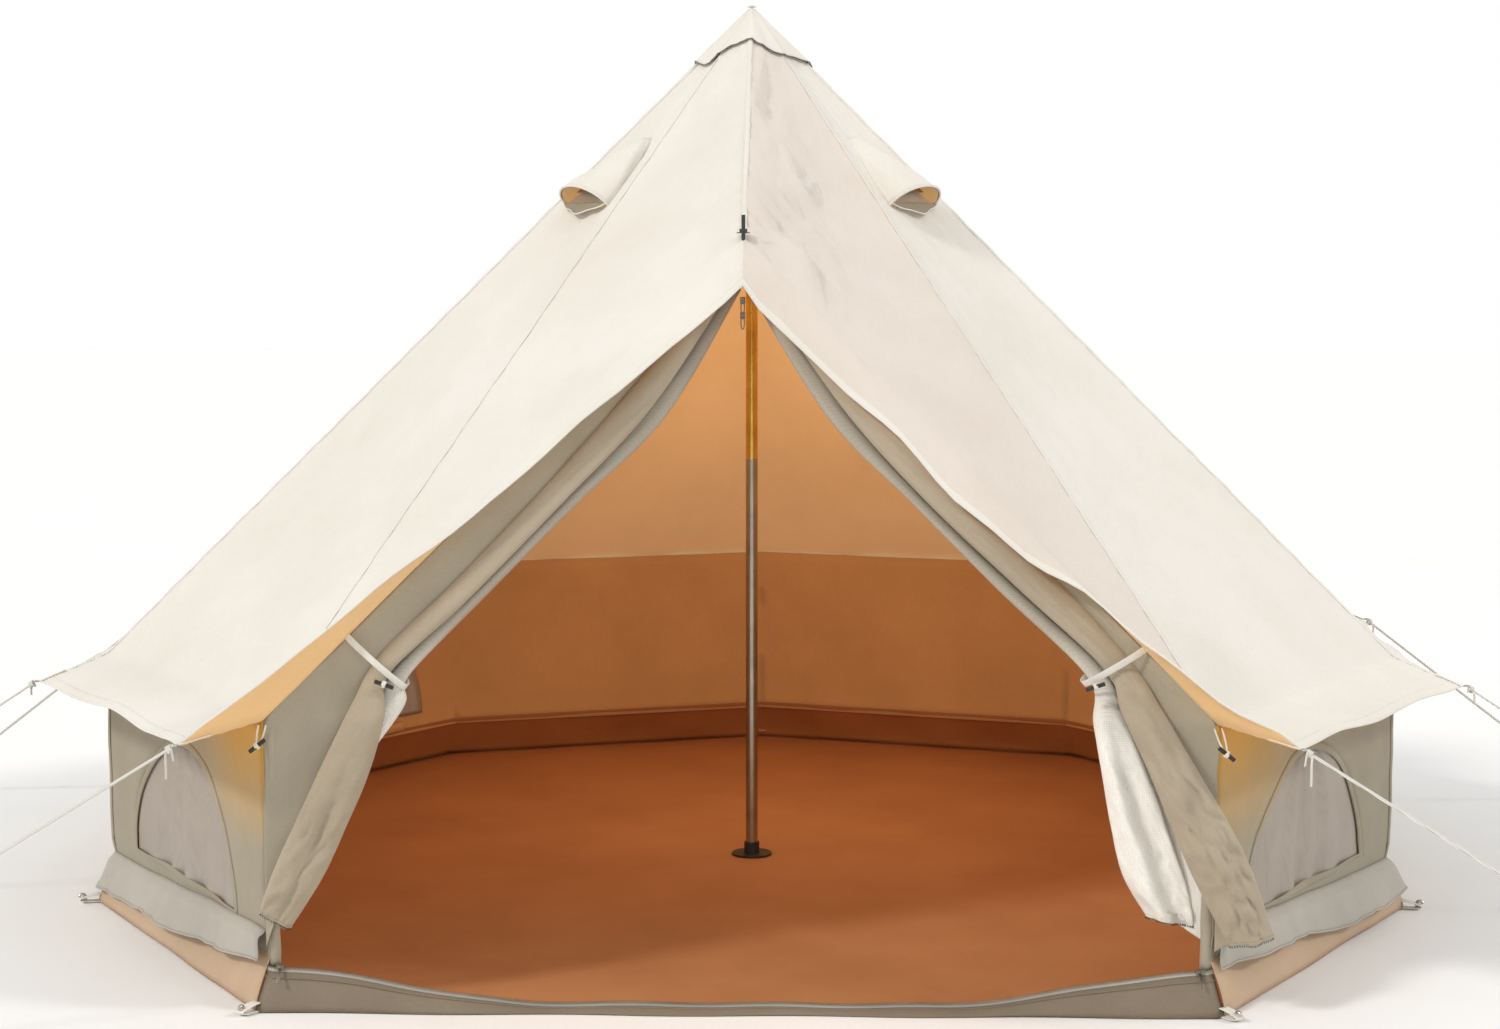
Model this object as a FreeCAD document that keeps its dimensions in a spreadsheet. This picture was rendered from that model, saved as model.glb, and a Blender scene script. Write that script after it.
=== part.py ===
import FreeCAD, Part
import math
import os
import Sketcher
from FreeCAD import Placement, Rotation, Vector

# Bell tent, millimetres. Origin: foot of the centre pole on the ground.
# +Z up, +X to the right of somebody who faces the door, -Y out through the door.
# The wall plan is a ten-sided ring whose two front sides are replaced by one straight door front.

SIZES = {
    "tent_height": 2000, "wall_radius": 1481, "wall_top": 558, "wall_base": 96,
    "door_half": 899, "door_line": 1265, "peak_back": 851, "peak_height": 1464,
    "eave_radius": 1624, "eave_height": 500,
    "tip_side": 1032, "tip_front": 1375, "tip_height": 530,
    "brow_front": 930, "brow_height": 1370,
    "canvas": 3, "seam": 2.5, "sheet_floor": 3, "floor_flare": 34, "side_top": 92,
    "skirt_top": 132, "skirt_low": 48, "skirt_out": 30,
    "cap_reach": 138, "cap_gap": 6, "roof_throat": 12,
    "window_width": 630, "window_low": 150, "window_high": 285, "mesh_thick": 1,
    "flap_radius": 18, "flap_width": 440, "flap_drop": 26, "flap_inset": 24,
    "vent_height": 1540, "vent_width": 200, "vent_length": 220, "vent_rise": 62, "hood_wall": 3,
    "vent_throat": 30, "vent_throat_rise": 10,
    "pole_radius": 14, "pole_wall": 1.2, "pole_joint": 950, "pole_top": 1958, "swage_length": 90,
    "foot_radius": 47, "foot_thick": 5, "socket_height": 26, "cap_height": 9, "cap_well": 6,
    "leg_radius": 9.5, "leg_wall": 1.2, "leg_bend": 60, "arm_length": 64, "arm_wall": 2,
    "block_radius": 12, "block_height": 34, "block_drop": 68,
    "spike_radius": 4, "spike_length": 80, "washer_radius": 13.5, "washer_thick": 2,
    "nut_radius": 8, "nut_height": 7,
    "door_thick": 34, "screen_thick": 12, "tie_length": 127, "tie_width": 22, "tie_thick": 2,
    "toggle_length": 38, "toggle_radius": 4,
    "lip_post": 78, "lip_knee": 15, "knee_side": 450, "lip_thick": 3, "lip_out": 12,
    "slider_length": 16, "slider_height": 12, "slider_thick": 6,
    "pull_length": 34, "pull_width": 7, "pull_thick": 2,
    "rope_dia": 4.5, "rope_spread": 12.6, "peg_radius": 3.5, "peg_lead": 14,
    "runner_length": 32, "runner_width": 13, "runner_thick": 6, "runner_hole": 3.1,
    "webbing": 2, "webbing_width": 25, "tab_length": 40, "tab_reach": 22,
    "stake_radius": 4, "stake_hole": 5, "stake_stand": 14, "stake_reach": 28,
    "eyelet_radius": 9, "eyelet_hole": 4.5, "eyelet_out": 12, "hole_depth": 120,
}

RIGHT, LEFT = 1, -1
SIDES = {"left": LEFT, "right": RIGHT}
DOOR_POST, BACK = 1, 5          # numbers of the wall corners, counted from the door post round to the back
PARTS = []                      # sub-parts in the order in which they are written

doc = FreeCAD.newDocument("bell_tent")
sheet = doc.addObject("Spreadsheet::Sheet", "Sizes")
for row, (alias, value) in enumerate(SIZES.items(), 1):
    sheet.set(f"A{row}", alias)
    sheet.set(f"B{row}", str(value))
    sheet.setAlias(f"B{row}", alias)
doc.recompute()


def size(alias):
    """A driving dimension, read from the sheet."""
    return float(sheet.get(alias))


def keep(obj, name):
    """Label an object as a sub-part."""
    obj.Label = name
    PARTS.append(obj)
    return obj


# ---------------------------------------------------------------- places on the tent

def wall_corner(step, side, height, outset=0.0):
    """Corner of the wall plan at a height, moved outwards from the pole by outset."""
    radius = size("wall_radius")
    angle = math.radians(36 * step)
    x, y = radius * math.sin(angle), -radius * math.cos(angle)
    if step == DOOR_POST:
        x, y = size("door_half"), -size("door_line")
    scale = 1 + outset / math.hypot(x, y)
    return Vector(side * x * scale, y * scale, height)


def eave_tip(step, side):
    """Tip of the eave where a guy rope is tied."""
    if step == DOOR_POST:
        return Vector(side * size("tip_side"), -size("tip_front"), size("tip_height"))
    angle = math.radians(36 * step)
    radius = size("eave_radius")
    return Vector(side * radius * math.sin(angle), -radius * math.cos(angle), size("eave_height"))


def eave_ring(step, side):
    """Centre of the metal ring just outside an eave tip."""
    tip = eave_tip(step, side)
    return tip + Vector(tip.x, tip.y, 0).normalize() * size("eyelet_out")


def door_peak():
    """Point of the roof that the door frame holds up."""
    return Vector(0, -size("peak_back"), size("peak_height"))


def panel_numbers():
    """Wall side and first corner of each of the eight wall panels."""
    return [(side, step) for step in range(DOOR_POST, BACK) for side in (LEFT, RIGHT)]


# ---------------------------------------------------------------- building blocks

def inset(points, gap):
    """Corners of a flat polygon moved inwards by gap from every edge."""
    normal = polygon_normal(points)
    count = len(points)
    moved = []
    for index, point in enumerate(points):
        before = (point - points[index - 1]).normalize()
        after = (points[(index + 1) % count] - point).normalize()
        inward_before = normal.cross(before)
        inward_after = normal.cross(after)
        bisector = inward_before + inward_after
        reach = gap / max(0.05, (1 + inward_before.dot(inward_after)))
        moved.append(point + bisector * reach)
    return moved


def polygon_normal(points):
    """Unit normal of a flat polygon, by its right-hand rule."""
    total = Vector(0, 0, 0)
    for index, point in enumerate(points):
        following = points[(index + 1) % len(points)]
        total += point.cross(following)
    return total.normalize()


def flattened(points):
    """The same polygon with its corners moved onto one plane."""
    normal = polygon_normal(points)
    middle = sum(points, Vector(0, 0, 0)) * (1 / len(points))
    return [point - normal * (point - middle).dot(normal) for point in points]


def facing_out(points):
    """The same polygon, ordered so that its normal points away from the tent's middle."""
    middle = sum(points, Vector(0, 0, 0)) * (1 / len(points))
    outward = middle - Vector(0, 0, size("wall_top"))
    if polygon_normal(points).dot(outward) < 0:
        return list(reversed(points))
    return list(points)


def cloth(points, alias="canvas", gap_alias="seam", outer=0.0):
    """Flat piece of cloth: a polygon extruded inwards; outer moves its face outwards."""
    outline = inset(flattened(facing_out(points)), size(gap_alias))
    normal = polygon_normal(outline)
    polygon = doc.addObject("Part::Polygon", "Outline")
    polygon.Nodes = [point + normal * outer for point in outline]
    polygon.Close = True
    piece = doc.addObject("Part::Extrusion", "Cloth")
    piece.Base = polygon
    piece.DirMode = "Custom"
    piece.Dir = normal * -1
    piece.Solid = True
    piece.setExpression("LengthFwd", f"Sizes.{alias}")
    return piece


def group(pieces, name):
    """Several separate pieces of one kind as one sub-part."""
    compound = doc.addObject("Part::Compound", "Group")
    compound.Links = pieces
    return keep(compound, name)


def cut(base, tool):
    """Boolean difference."""
    result = doc.addObject("Part::Cut", "Cut")
    result.Base = base
    result.Tool = tool
    return result


def cylinder(radius_alias, height_alias, placement):
    """Cylinder whose sizes are cells of the sheet."""
    piece = doc.addObject("Part::Cylinder", "Cylinder")
    piece.setExpression("Radius", f"Sizes.{radius_alias}")
    piece.setExpression("Height", f"Sizes.{height_alias}")
    piece.Placement = placement
    return piece


def box(lengths, placement):
    """Box with its sides bound to expressions, centred on the placement."""
    piece = doc.addObject("Part::Box", "Box")
    for side, expression in zip(("Length", "Width", "Height"), lengths):
        piece.setExpression(side, expression)
    doc.recompute()
    centre = Vector(piece.Length.Value, piece.Width.Value, piece.Height.Value) * -0.5
    piece.Placement = placement.multiply(Placement(centre, Rotation()))
    return piece


def solid(shape, name, placement=None):
    """Sub-part with a shape of its own."""
    feature = doc.addObject("Part::Feature", "Solid")
    feature.Shape = shape
    if placement:
        feature.Placement = placement
    return keep(feature, name)


def aimed(origin, direction, across=Vector(0, 0, 1)):
    """Placement at origin with its Z axis along direction and its X axis square to across."""
    z_axis = Vector(direction).normalize()
    x_axis = Vector(across).cross(z_axis).normalize()
    y_axis = z_axis.cross(x_axis)
    return Placement(origin, Rotation(x_axis, y_axis, z_axis, "ZXY"))


def rounded_path(points, name, radius=None):
    """Straight runs joined by tangent arcs, as one wire; prints the arcs' radii."""
    edges = []
    radii = []
    start = points[0]
    for before, corner, after in zip(points, points[1:], points[2:]):
        arrive = (corner - before).normalize()
        leave = (after - corner).normalize()
        half_turn = arrive.getAngle(leave) / 2
        shorter = min((corner - before).Length, (after - corner).Length)
        bend = radius or 0.45 * shorter / math.tan(half_turn)
        trim = bend * math.tan(half_turn)
        first = corner - arrive * trim
        last = corner + leave * trim
        towards = (leave - arrive).normalize()
        middle = corner + towards * (bend / math.cos(half_turn) - bend)
        edges.append(Part.LineSegment(start, first).toShape())
        edges.append(Part.Arc(first, middle, last).toShape())
        radii.append(round(bend, 1))
        start = last
    edges.append(Part.LineSegment(start, points[-1]).toShape())
    print(name, "arc radii", radii)
    return Part.Wire(edges)


def tube(path, outer, inner=0.0):
    """Round bar or tube swept along a wire."""
    start = path.Edges[0].Vertexes[0].Point
    direction = path.Edges[0].tangentAt(path.Edges[0].FirstParameter)

    def sweep(radius):
        ring = Part.Wire([Part.Circle(start, direction, radius).toShape()])
        return path.makePipeShell([ring], True, True)

    body = sweep(outer)
    expected = math.pi * outer ** 2 * path.Length
    if abs(body.Volume / expected - 1) > 0.02:
        raise ValueError("swept volume differs from its section times its length")
    return body.cut(sweep(inner)) if inner else body


def sketch_on(body, plane_role, name):
    """New sketch on one of the body's own origin planes."""
    sketch = body.newObject("Sketcher::SketchObject", name)
    plane = [item for item in body.Origin.OriginFeatures if item.Role == plane_role][0]
    sketch.AttachmentSupport = [(plane, "")]
    sketch.MapMode = "FlatFace"
    return sketch


def circle(sketch, radius_expression, x_expression="0"):
    """Circle on the sketch's X axis, with its radius bound to the sheet."""
    index = sketch.addGeometry(Part.Circle(Vector(0, 0, 0), Vector(0, 0, 1), 5), False)
    radius = sketch.addConstraint(Sketcher.Constraint("Radius", index, 5))
    sketch.setExpression(f"Constraints[{radius}]", radius_expression)
    if x_expression == "0":
        sketch.addConstraint(Sketcher.Constraint("Coincident", index, 3, -1, 1))
        return
    sketch.addConstraint(Sketcher.Constraint("PointOnObject", index, 3, -1))
    place = sketch.addConstraint(Sketcher.Constraint("DistanceX", -1, 1, index, 3, 5))
    sketch.setExpression(f"Constraints[{place}]", x_expression)


def rectangle(sketch, width_expression, height_expression):
    """Rectangle centred on the sketch's origin."""
    corners = [Vector(-5, -5, 0), Vector(5, -5, 0), Vector(5, 5, 0), Vector(-5, 5, 0)]
    lines = []
    for start, end in zip(corners, corners[1:] + corners[:1]):
        lines.append(sketch.addGeometry(Part.LineSegment(start, end), False))
    for line, following in zip(lines, lines[1:] + lines[:1]):
        sketch.addConstraint(Sketcher.Constraint("Coincident", line, 2, following, 1))
    for line in lines[0::2]:
        sketch.addConstraint(Sketcher.Constraint("Horizontal", line))
    for line in lines[1::2]:
        sketch.addConstraint(Sketcher.Constraint("Vertical", line))
    sketch.addConstraint(Sketcher.Constraint("Symmetric", lines[0], 1, lines[2], 1, -1, 1))
    width = sketch.addConstraint(Sketcher.Constraint("DistanceX", lines[0], 1, lines[0], 2, 10))
    height = sketch.addConstraint(Sketcher.Constraint("DistanceY", lines[1], 1, lines[1], 2, 10))
    sketch.setExpression(f"Constraints[{width}]", width_expression)
    sketch.setExpression(f"Constraints[{height}]", height_expression)


def ring_body(outer_expression, inner_expression, height_expression, placement):
    """Round tube, washer or ring standing on its end."""
    body = doc.addObject("PartDesign::Body", "Ring")
    sketch = sketch_on(body, "XY_Plane", "Section")
    circle(sketch, outer_expression)
    circle(sketch, inner_expression)
    pad(body, sketch, height_expression)
    body.Placement = placement
    return body


def pad(body, sketch, length_expression):
    """Pad a sketch upwards."""
    feature = body.newObject("PartDesign::Pad", "Pad")
    feature.Profile = sketch
    feature.setExpression("Length", length_expression)
    body.Tip = feature
    return feature


def pocket_through(body, sketch):
    """Cut a sketch through the body both ways."""
    feature = body.newObject("PartDesign::Pocket", "Pocket")
    feature.Profile = sketch
    feature.Type = "ThroughAll"
    feature.Midplane = True
    body.Tip = feature
    return feature


# ---------------------------------------------------------------- canvas

def roof_panels():
    """Canvas gores round the pole, and the two over the door with the visor that stands out past it."""
    apex = Vector(0, 0, size("tent_height") - size("cap_gap"))

    def throat(corner):
        """Point near the apex on the ridge that runs down to a corner."""
        ridge = corner - apex
        return apex + ridge * (size("roof_throat") / math.hypot(ridge.x, ridge.y))

    for name, steps in {"roof_panels_front_side": (1,), "roof_panels_round": (2, 3, 4)}.items():
        gores = []
        for side, step in panel_numbers():
            if step not in steps:
                continue
            first = wall_corner(step, side, size("wall_top"))
            second = wall_corner(step + 1, side, size("wall_top"))
            gores.append(cloth([first, second, throat(second), throat(first)]))
        group(gores, name)
    hole = Placement(door_peak() + Vector(0, 0, -60), Rotation())
    brow = Vector(0, -size("brow_front"), size("brow_height"))
    fronts = []
    for side in (LEFT, RIGHT):
        post = wall_corner(DOOR_POST, side, size("wall_top"))
        gore = cloth([throat(door_peak()), door_peak(), post, throat(post)])
        visor = cloth([door_peak(), brow, post])
        for piece in (gore, visor):
            fronts.append(cut(piece, cylinder("eyelet_radius", "hole_depth", hole)))
        fronts.append(cloth([brow, eave_tip(DOOR_POST, side), post]))
    group(fronts, "roof_panels_front")


def valance():
    """Eave that stands out past the walls, sewn to the foot of the roof."""
    pieces = []
    for side, step in panel_numbers():
        first = wall_corner(step, side, size("wall_top"))
        second = wall_corner(step + 1, side, size("wall_top"))
        if step == DOOR_POST:
            pieces.append(cloth([first, second, eave_tip(step + 1, side)]))
            pieces.append(cloth([first, eave_tip(step + 1, side), eave_tip(step, side)]))
        else:
            pieces.append(cloth([first, second, eave_tip(step + 1, side), eave_tip(step, side)]))
    group(pieces, "eave_valance")


def apex_cap():
    """Second layer of canvas over the peak of the roof, one flat for each gore."""
    lift = Vector(0, 0, size("cap_gap"))
    apex = Vector(0, 0, size("tent_height")) - lift
    peak = apex + lift
    around = [door_peak()]
    around += [wall_corner(step, RIGHT, size("wall_top")) for step in range(DOOR_POST, BACK + 1)]
    around += [wall_corner(step, LEFT, size("wall_top")) for step in range(BACK - 1, 0, -1)]
    hem = []
    for corner in around:
        ridge = corner - apex
        hem.append(peak + ridge * (size("cap_reach") / math.hypot(ridge.x, ridge.y)))
    pieces = []
    for first, second in zip(hem, hem[1:] + hem[:1]):
        pieces.append(cloth([peak, first, second], "mesh_thick"))
    group(pieces, "apex_cap")


def vent_hoods():
    """Four arched canvas hoods on the roof, open at the low end, each over a mesh patch."""
    hoods, screens = [], []
    apex = Vector(0, 0, size("tent_height") - size("cap_gap"))
    width, length = size("vent_width"), size("vent_length")
    wall, lift = size("hood_wall"), size("vent_rise")
    for side, step in panel_numbers():
        if step not in (1, 3):
            continue
        first = wall_corner(step, side, size("wall_top"))
        second = wall_corner(step + 1, side, size("wall_top"))
        outward = polygon_normal(facing_out([apex, first, second]))
        along = (second - first).normalize() * side
        upslope = outward.cross(along)
        middle = (first + second) * 0.5 - apex
        share = (apex.z - size("vent_height")) / (apex.z - size("wall_top"))
        place = Placement(apex + middle * share, Rotation(along, upslope, outward, "ZXY"))

        def arch(half, height, y, base):
            left, right = Vector(-half, y, base), Vector(half, y, base)
            crown = Vector(0, y, height)
            bow = Part.Arc(left, crown, right).toShape()
            return Part.Wire([bow, Part.LineSegment(right, left).toShape()])

        base = 1.0
        half, rise = size("vent_throat") / 2, size("vent_throat_rise")
        outer = Part.makeLoft([arch(width / 2, lift, 0, base), arch(half, rise, length, base)], True)
        mouth = arch(width / 2 - wall, lift - wall, -1, base)
        inner = Part.makeLoft([mouth, arch(half - wall, rise - wall, length - 2 * wall, base)], True)
        hood = doc.addObject("Part::Feature", "Hood")
        hood.Shape = outer.cut(inner)
        hood.Placement = place
        hoods.append(hood)
        patch = place.multiply(Placement(Vector(0, length * 0.22, 1.5), Rotation()))
        screens.append(box(("Sizes.vent_width * 0.5", "Sizes.vent_length * 0.3", "Sizes.mesh_thick"), patch))
    group(hoods, "vent_hoods")
    return screens


def wall_frame(side, step):
    """Placement in the middle of a wall panel's foot: X along the wall, Y up, Z outwards."""
    first = wall_corner(step, side, 0)
    second = wall_corner(step + 1, side, 0)
    along = (second - first).normalize() * side
    outward = along.cross(Vector(0, 0, 1))
    rotation = Rotation(along, Vector(0, 0, 1), outward, "ZXY")
    return Placement((first + second) * 0.5, rotation)


def window_plate(side, step, shrink, inset, thickness):
    """Flat plate with the arched outline of a window, let into its wall: half an ellipse on a straight foot."""
    half, rise = size("window_width") / 2 - shrink, size("window_high") - shrink
    bow = Part.ArcOfEllipse(Part.Ellipse(Vector(0, 0, 0), half, rise), 0, math.pi).toShape()
    foot = Part.LineSegment(Vector(-half, 0, 0), Vector(half, 0, 0)).toShape()
    plate = doc.addObject("Part::Feature", "WindowPlate")
    plate.Shape = Part.Face(Part.Wire([foot, bow])).extrude(Vector(0, 0, thickness))
    place = Vector(0, size("window_low") + shrink / 2, -inset)
    plate.Placement = wall_frame(side, step).multiply(Placement(place, Rotation()))
    return plate


def walls():
    """Side walls; the pairs behind the door posts and towards the rear have a mesh window."""
    screens, flaps = [], []
    for name, steps in {"walls_with_windows": (1, 3), "walls_plain": (2, 4)}.items():
        pieces = []
        for side, step in panel_numbers():
            if step not in steps:
                continue
            lower = [wall_corner(step, side, size("wall_base")), wall_corner(step + 1, side, size("wall_base"))]
            top = size("wall_top") - 4
            upper = [wall_corner(step + 1, side, top), wall_corner(step, side, top)]
            panel = cloth(lower + upper)
            if name == "walls_with_windows":
                through = size("webbing_width")
                panel = cut(panel, window_plate(side, step, 0, through / 2, through))
                screens.append(window_plate(side, step, 0.5, 2, size("mesh_thick")))
                height = size("window_low") - size("flap_drop")
                foot = Vector(-size("flap_width") / 2, height, -size("flap_inset"))
                place = Placement(foot, Rotation(Vector(0, 1, 0), 90))
                flaps.append(cylinder("flap_radius", "flap_width", wall_frame(side, step).multiply(place)))
            pieces.append(panel)
        group(pieces, name)
    group(flaps, "window_flaps_rolled")
    return screens


def mud_skirt():
    """Canvas flap round the foot of the walls, over the sides of the groundsheet."""
    pieces = []
    for side, step in panel_numbers():
        top, low = size("skirt_top"), size("skirt_low")
        points = [wall_corner(step, side, top, 6), wall_corner(step + 1, side, top, 6)]
        points += [wall_corner(step + 1, side, low, size("skirt_out") + 8)]
        points += [wall_corner(step, side, low, size("skirt_out") + 8)]
        pieces.append(cloth(points, outer=1.0))
    group(pieces, "mud_skirt")


def groundsheet():
    """Sewn-in groundsheet: a flat floor and sides that stand up to meet the walls."""
    flare = size("floor_flare")
    ring = [wall_corner(step, RIGHT, 0, flare) for step in range(DOOR_POST, BACK + 1)]
    ring += [wall_corner(step, LEFT, 0, flare) for step in range(BACK - 1, 0, -1)]
    outline = doc.addObject("Part::Polygon", "FloorOutline")
    outline.Nodes = ring
    outline.Close = True
    floor = doc.addObject("Part::Extrusion", "Floor")
    floor.Base = outline
    floor.DirMode = "Custom"
    floor.Dir = Vector(0, 0, 1)
    floor.Solid = True
    floor.setExpression("LengthFwd", "Sizes.sheet_floor")
    keep(floor, "groundsheet_floor")
    pieces = []
    for side, step in panel_numbers():
        low, top = size("sheet_floor"), size("side_top")
        points = [wall_corner(step, side, low, flare), wall_corner(step + 1, side, low, flare)]
        points += [wall_corner(step + 1, side, top, 2), wall_corner(step, side, top, 2)]
        pieces.append(cloth(points))
    group(pieces, "groundsheet_sides")


def threshold():
    """Lip of the groundsheet across the door: high at the posts, low between the knees."""
    post, knee = size("door_half") - 14, size("knee_side")
    base, high, low = size("sheet_floor"), size("lip_post"), size("lip_knee")
    profile = [(-post, base), (post, base), (post, high), (knee, low), (-knee, low), (-post, high)]
    front = -size("door_line") - size("lip_out")
    outline = doc.addObject("Part::Polygon", "LipOutline")
    outline.Nodes = [Vector(x, front, z) for x, z in profile]
    outline.Close = True
    lip = doc.addObject("Part::Extrusion", "Lip")
    lip.Base = outline
    lip.DirMode = "Custom"
    lip.Dir = Vector(0, 1, 0)
    lip.Solid = True
    lip.setExpression("LengthFwd", "Sizes.lip_thick")
    keep(lip, "door_threshold")


# ---------------------------------------------------------------- poles and the door frame

def upright(height):
    """Placement on the centre line of the pole at a height."""
    return Placement(Vector(0, 0, height), Rotation())


def centre_pole():
    """Two-piece centre pole on a foot plate: the lower tube's swaged end fills the upper tube."""
    floor = size("sheet_floor")
    plate_top = floor + size("foot_thick")
    foot = doc.addObject("PartDesign::Body", "Foot")
    disc = sketch_on(foot, "XY_Plane", "Disc")
    circle(disc, "Sizes.foot_radius")
    pad(foot, disc, "Sizes.foot_thick")
    socket = sketch_on(foot, "XY_Plane", "Socket")
    circle(socket, "Sizes.pole_radius + 4")
    pad(foot, socket, "Sizes.foot_thick + Sizes.socket_height")
    bore = sketch_on(foot, "XY_Plane", "Bore")
    circle(bore, "Sizes.pole_radius + 0.3")
    hole = foot.newObject("PartDesign::Pocket", "Hole")
    hole.Profile = bore
    hole.Reversed = True
    hole.setExpression("Length", "Sizes.foot_thick + Sizes.socket_height")
    foot.Tip = hole
    floor_disc = sketch_on(foot, "XY_Plane", "Bottom")
    circle(floor_disc, "Sizes.pole_radius + 2")
    pad(foot, floor_disc, "Sizes.foot_thick")
    foot.Placement = Placement(Vector(0, 0, floor), Rotation())
    keep(foot, "pole_foot_plate")
    bore = "Sizes.pole_radius - Sizes.pole_wall"
    length = "Sizes.pole_joint - Sizes.sheet_floor - Sizes.foot_thick"
    keep(ring_body("Sizes.pole_radius", bore, length, upright(plate_top)), "pole_lower_section")
    middle = size("pole_joint")
    sleeve_bore = "Sizes.pole_radius - 2 * Sizes.pole_wall - 0.1"
    sleeve_foot = upright(middle - size("swage_length"))
    sleeve = ring_body(f"{bore} - 0.1", sleeve_bore, "Sizes.swage_length * 2", sleeve_foot)
    keep(sleeve, "pole_joint_sleeve")
    upper = ring_body("Sizes.pole_radius", bore, "Sizes.pole_top - Sizes.pole_joint", upright(middle))
    keep(upper, "pole_upper_section")
    cap = doc.addObject("PartDesign::Body", "PoleCap")
    crown = sketch_on(cap, "XY_Plane", "Crown")
    circle(crown, "Sizes.pole_radius + 1.2")
    pad(cap, crown, "Sizes.cap_height")
    inner = sketch_on(cap, "XY_Plane", "Inner")
    circle(inner, "Sizes.pole_radius + 0.1")
    well = cap.newObject("PartDesign::Pocket", "Well")
    well.Profile = inner
    well.Reversed = True
    well.setExpression("Length", "Sizes.cap_well")
    cap.Tip = well
    doc.recompute()
    end = upper.Shape.BoundBox.ZMax
    seat = end - size("cap_well") + 0.1
    cap.Placement = Placement(Vector(0, 0, seat), Rotation())
    keep(cap, "pole_top_cap")


def leg_points(side):
    """Centre line of one side of the door frame, tucked in behind the seam: peak, shoulder, foot."""
    seam = (wall_corner(DOOR_POST, side, size("wall_top")) - door_peak()).normalize()
    start = door_peak() + seam * 46 + Vector(side * -5, 13, -11)
    shoulder = wall_corner(DOOR_POST, side, size("wall_top") - 14) + Vector(side * -11, 15, 0)
    foot = Vector(shoulder.x, shoulder.y, size("sheet_floor"))
    return [start, shoulder, foot]


def door_frame():
    """Bent tube on each side of the door, joined at the peak by a bracket with a spike."""
    for word, side in SIDES.items():
        path = rounded_path(leg_points(side), f"leg {word}", size("leg_bend"))
        solid(tube(path, size("leg_radius"), size("leg_radius") - size("leg_wall")), f"frame_leg_{word}")
    arms, bores = [], []
    for side in (LEFT, RIGHT):
        start, shoulder = leg_points(side)[:2]
        direction = (shoulder - start).normalize()
        arm, back = size("arm_length"), direction * 24
        arms.append(Part.makeCylinder(size("leg_radius") + size("arm_wall"), arm, start - back, direction))
        bores.append(Part.makeCylinder(size("leg_radius") + 0.2, arm, start - direction * 0.2, direction))
    below = door_peak() + Vector(0, 6, -size("block_drop"))
    block = Part.makeCylinder(size("block_radius"), size("block_height"), below, Vector(0, 0, 1))
    foot = door_peak() + Vector(0, 0, size("block_height") - size("block_drop"))
    socket = Part.makeCylinder(size("spike_radius") + 0.1, size("spike_length"), foot)
    bracket = block.fuse(arms).cut(bores + [socket])
    solid(bracket.removeSplitter(), "frame_peak_bracket")
    keep(cylinder("spike_radius", "spike_length", Placement(foot, Rotation())), "door_spike")


def spike_hardware():
    """Washer on the canvas round the spike, and the domed collar above it."""
    seat = Placement(door_peak() + Vector(0, 0, 9), Rotation())
    washer = ring_body("Sizes.washer_radius", "Sizes.spike_radius + 0.3", "Sizes.washer_thick", seat)
    above = seat.multiply(Placement(Vector(0, 0, size("washer_thick")), Rotation()))
    collar = ring_body("Sizes.nut_radius", "Sizes.spike_radius + 0.1", "Sizes.nut_height", above)
    group([washer, collar], "spike_washers")


# ---------------------------------------------------------------- door cloths and their fittings

def door_point(side, x, z, depth):
    """Point of the door's surface, depth inside it; the surface leans back above the wall's top."""
    lean = max(0.0, z - size("wall_top")) / (size("peak_height") - size("wall_top"))
    y = -size("door_line") + lean * (size("door_line") - size("peak_back"))
    return Vector(side * x, y + depth, z)


# Outlines (x, z) of the tied-back canvas, each with the depth of its front and its thickness: the leaning
# part by the seam, the part below the wall's top, the swell to the front, and the hang in front of the post.
CANVAS_SLABS = {
    "left": [([(52, 1345), (640, 660), (668, 558), (838, 558), (812, 592)], 6, 34),
             ([(668, 558), (692, 430), (800, 150), (838, 150), (838, 558)], 6, 34),
             ([(700, 400), (742, 300), (800, 150), (838, 150), (838, 400)], -36, 76),
             ([(742, 300), (800, 150), (900, 150), (872, 300)], -36, 28)],
    "right": [([(52, 1345), (640, 660), (668, 558), (838, 558), (812, 592)], 6, 34),
              ([(668, 558), (692, 430), (800, 150), (838, 150), (838, 558)], 6, 34),
              ([(705, 545), (740, 430), (800, 290), (838, 215), (838, 545)], -44, 84),
              ([(705, 545), (740, 430), (800, 290), (872, 150), (985, 150), (965, 300), (925, 440), (880, 545)],
               -44, 36)],
}
MESH_OUTLINES = [[(52, 1338), (620, 660), (652, 558), (838, 558), (812, 592)],
                 [(652, 558), (676, 430), (742, 180), (838, 180), (838, 558)]]


def door_slab(side, outline, depth, thickness):
    """Plain slab that stands in for a stretch of gathered door cloth."""
    front = [door_point(side, x, z, depth) for x, z in outline]
    face = Part.Face(Part.makePolygon(front + front[:1]))
    return face.extrude(Vector(0, thickness, 0))


def door_cloths():
    """Canvas door and mesh door on each side, tied back; the right canvas is the fatter roll."""
    for word, side in SIDES.items():
        slabs = [door_slab(side, *slab) for slab in CANVAS_SLABS[word]]
        solid(slabs[0].fuse(slabs[1:]).removeSplitter(), f"canvas_door_{word}")
        behind, thickness = 10 + size("door_thick"), size("screen_thick")
        slabs = [door_slab(side, outline, behind, thickness) for outline in MESH_OUTLINES]
        solid(slabs[0].fuse(slabs[1:]).removeSplitter(), f"mesh_door_{word}")


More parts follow.
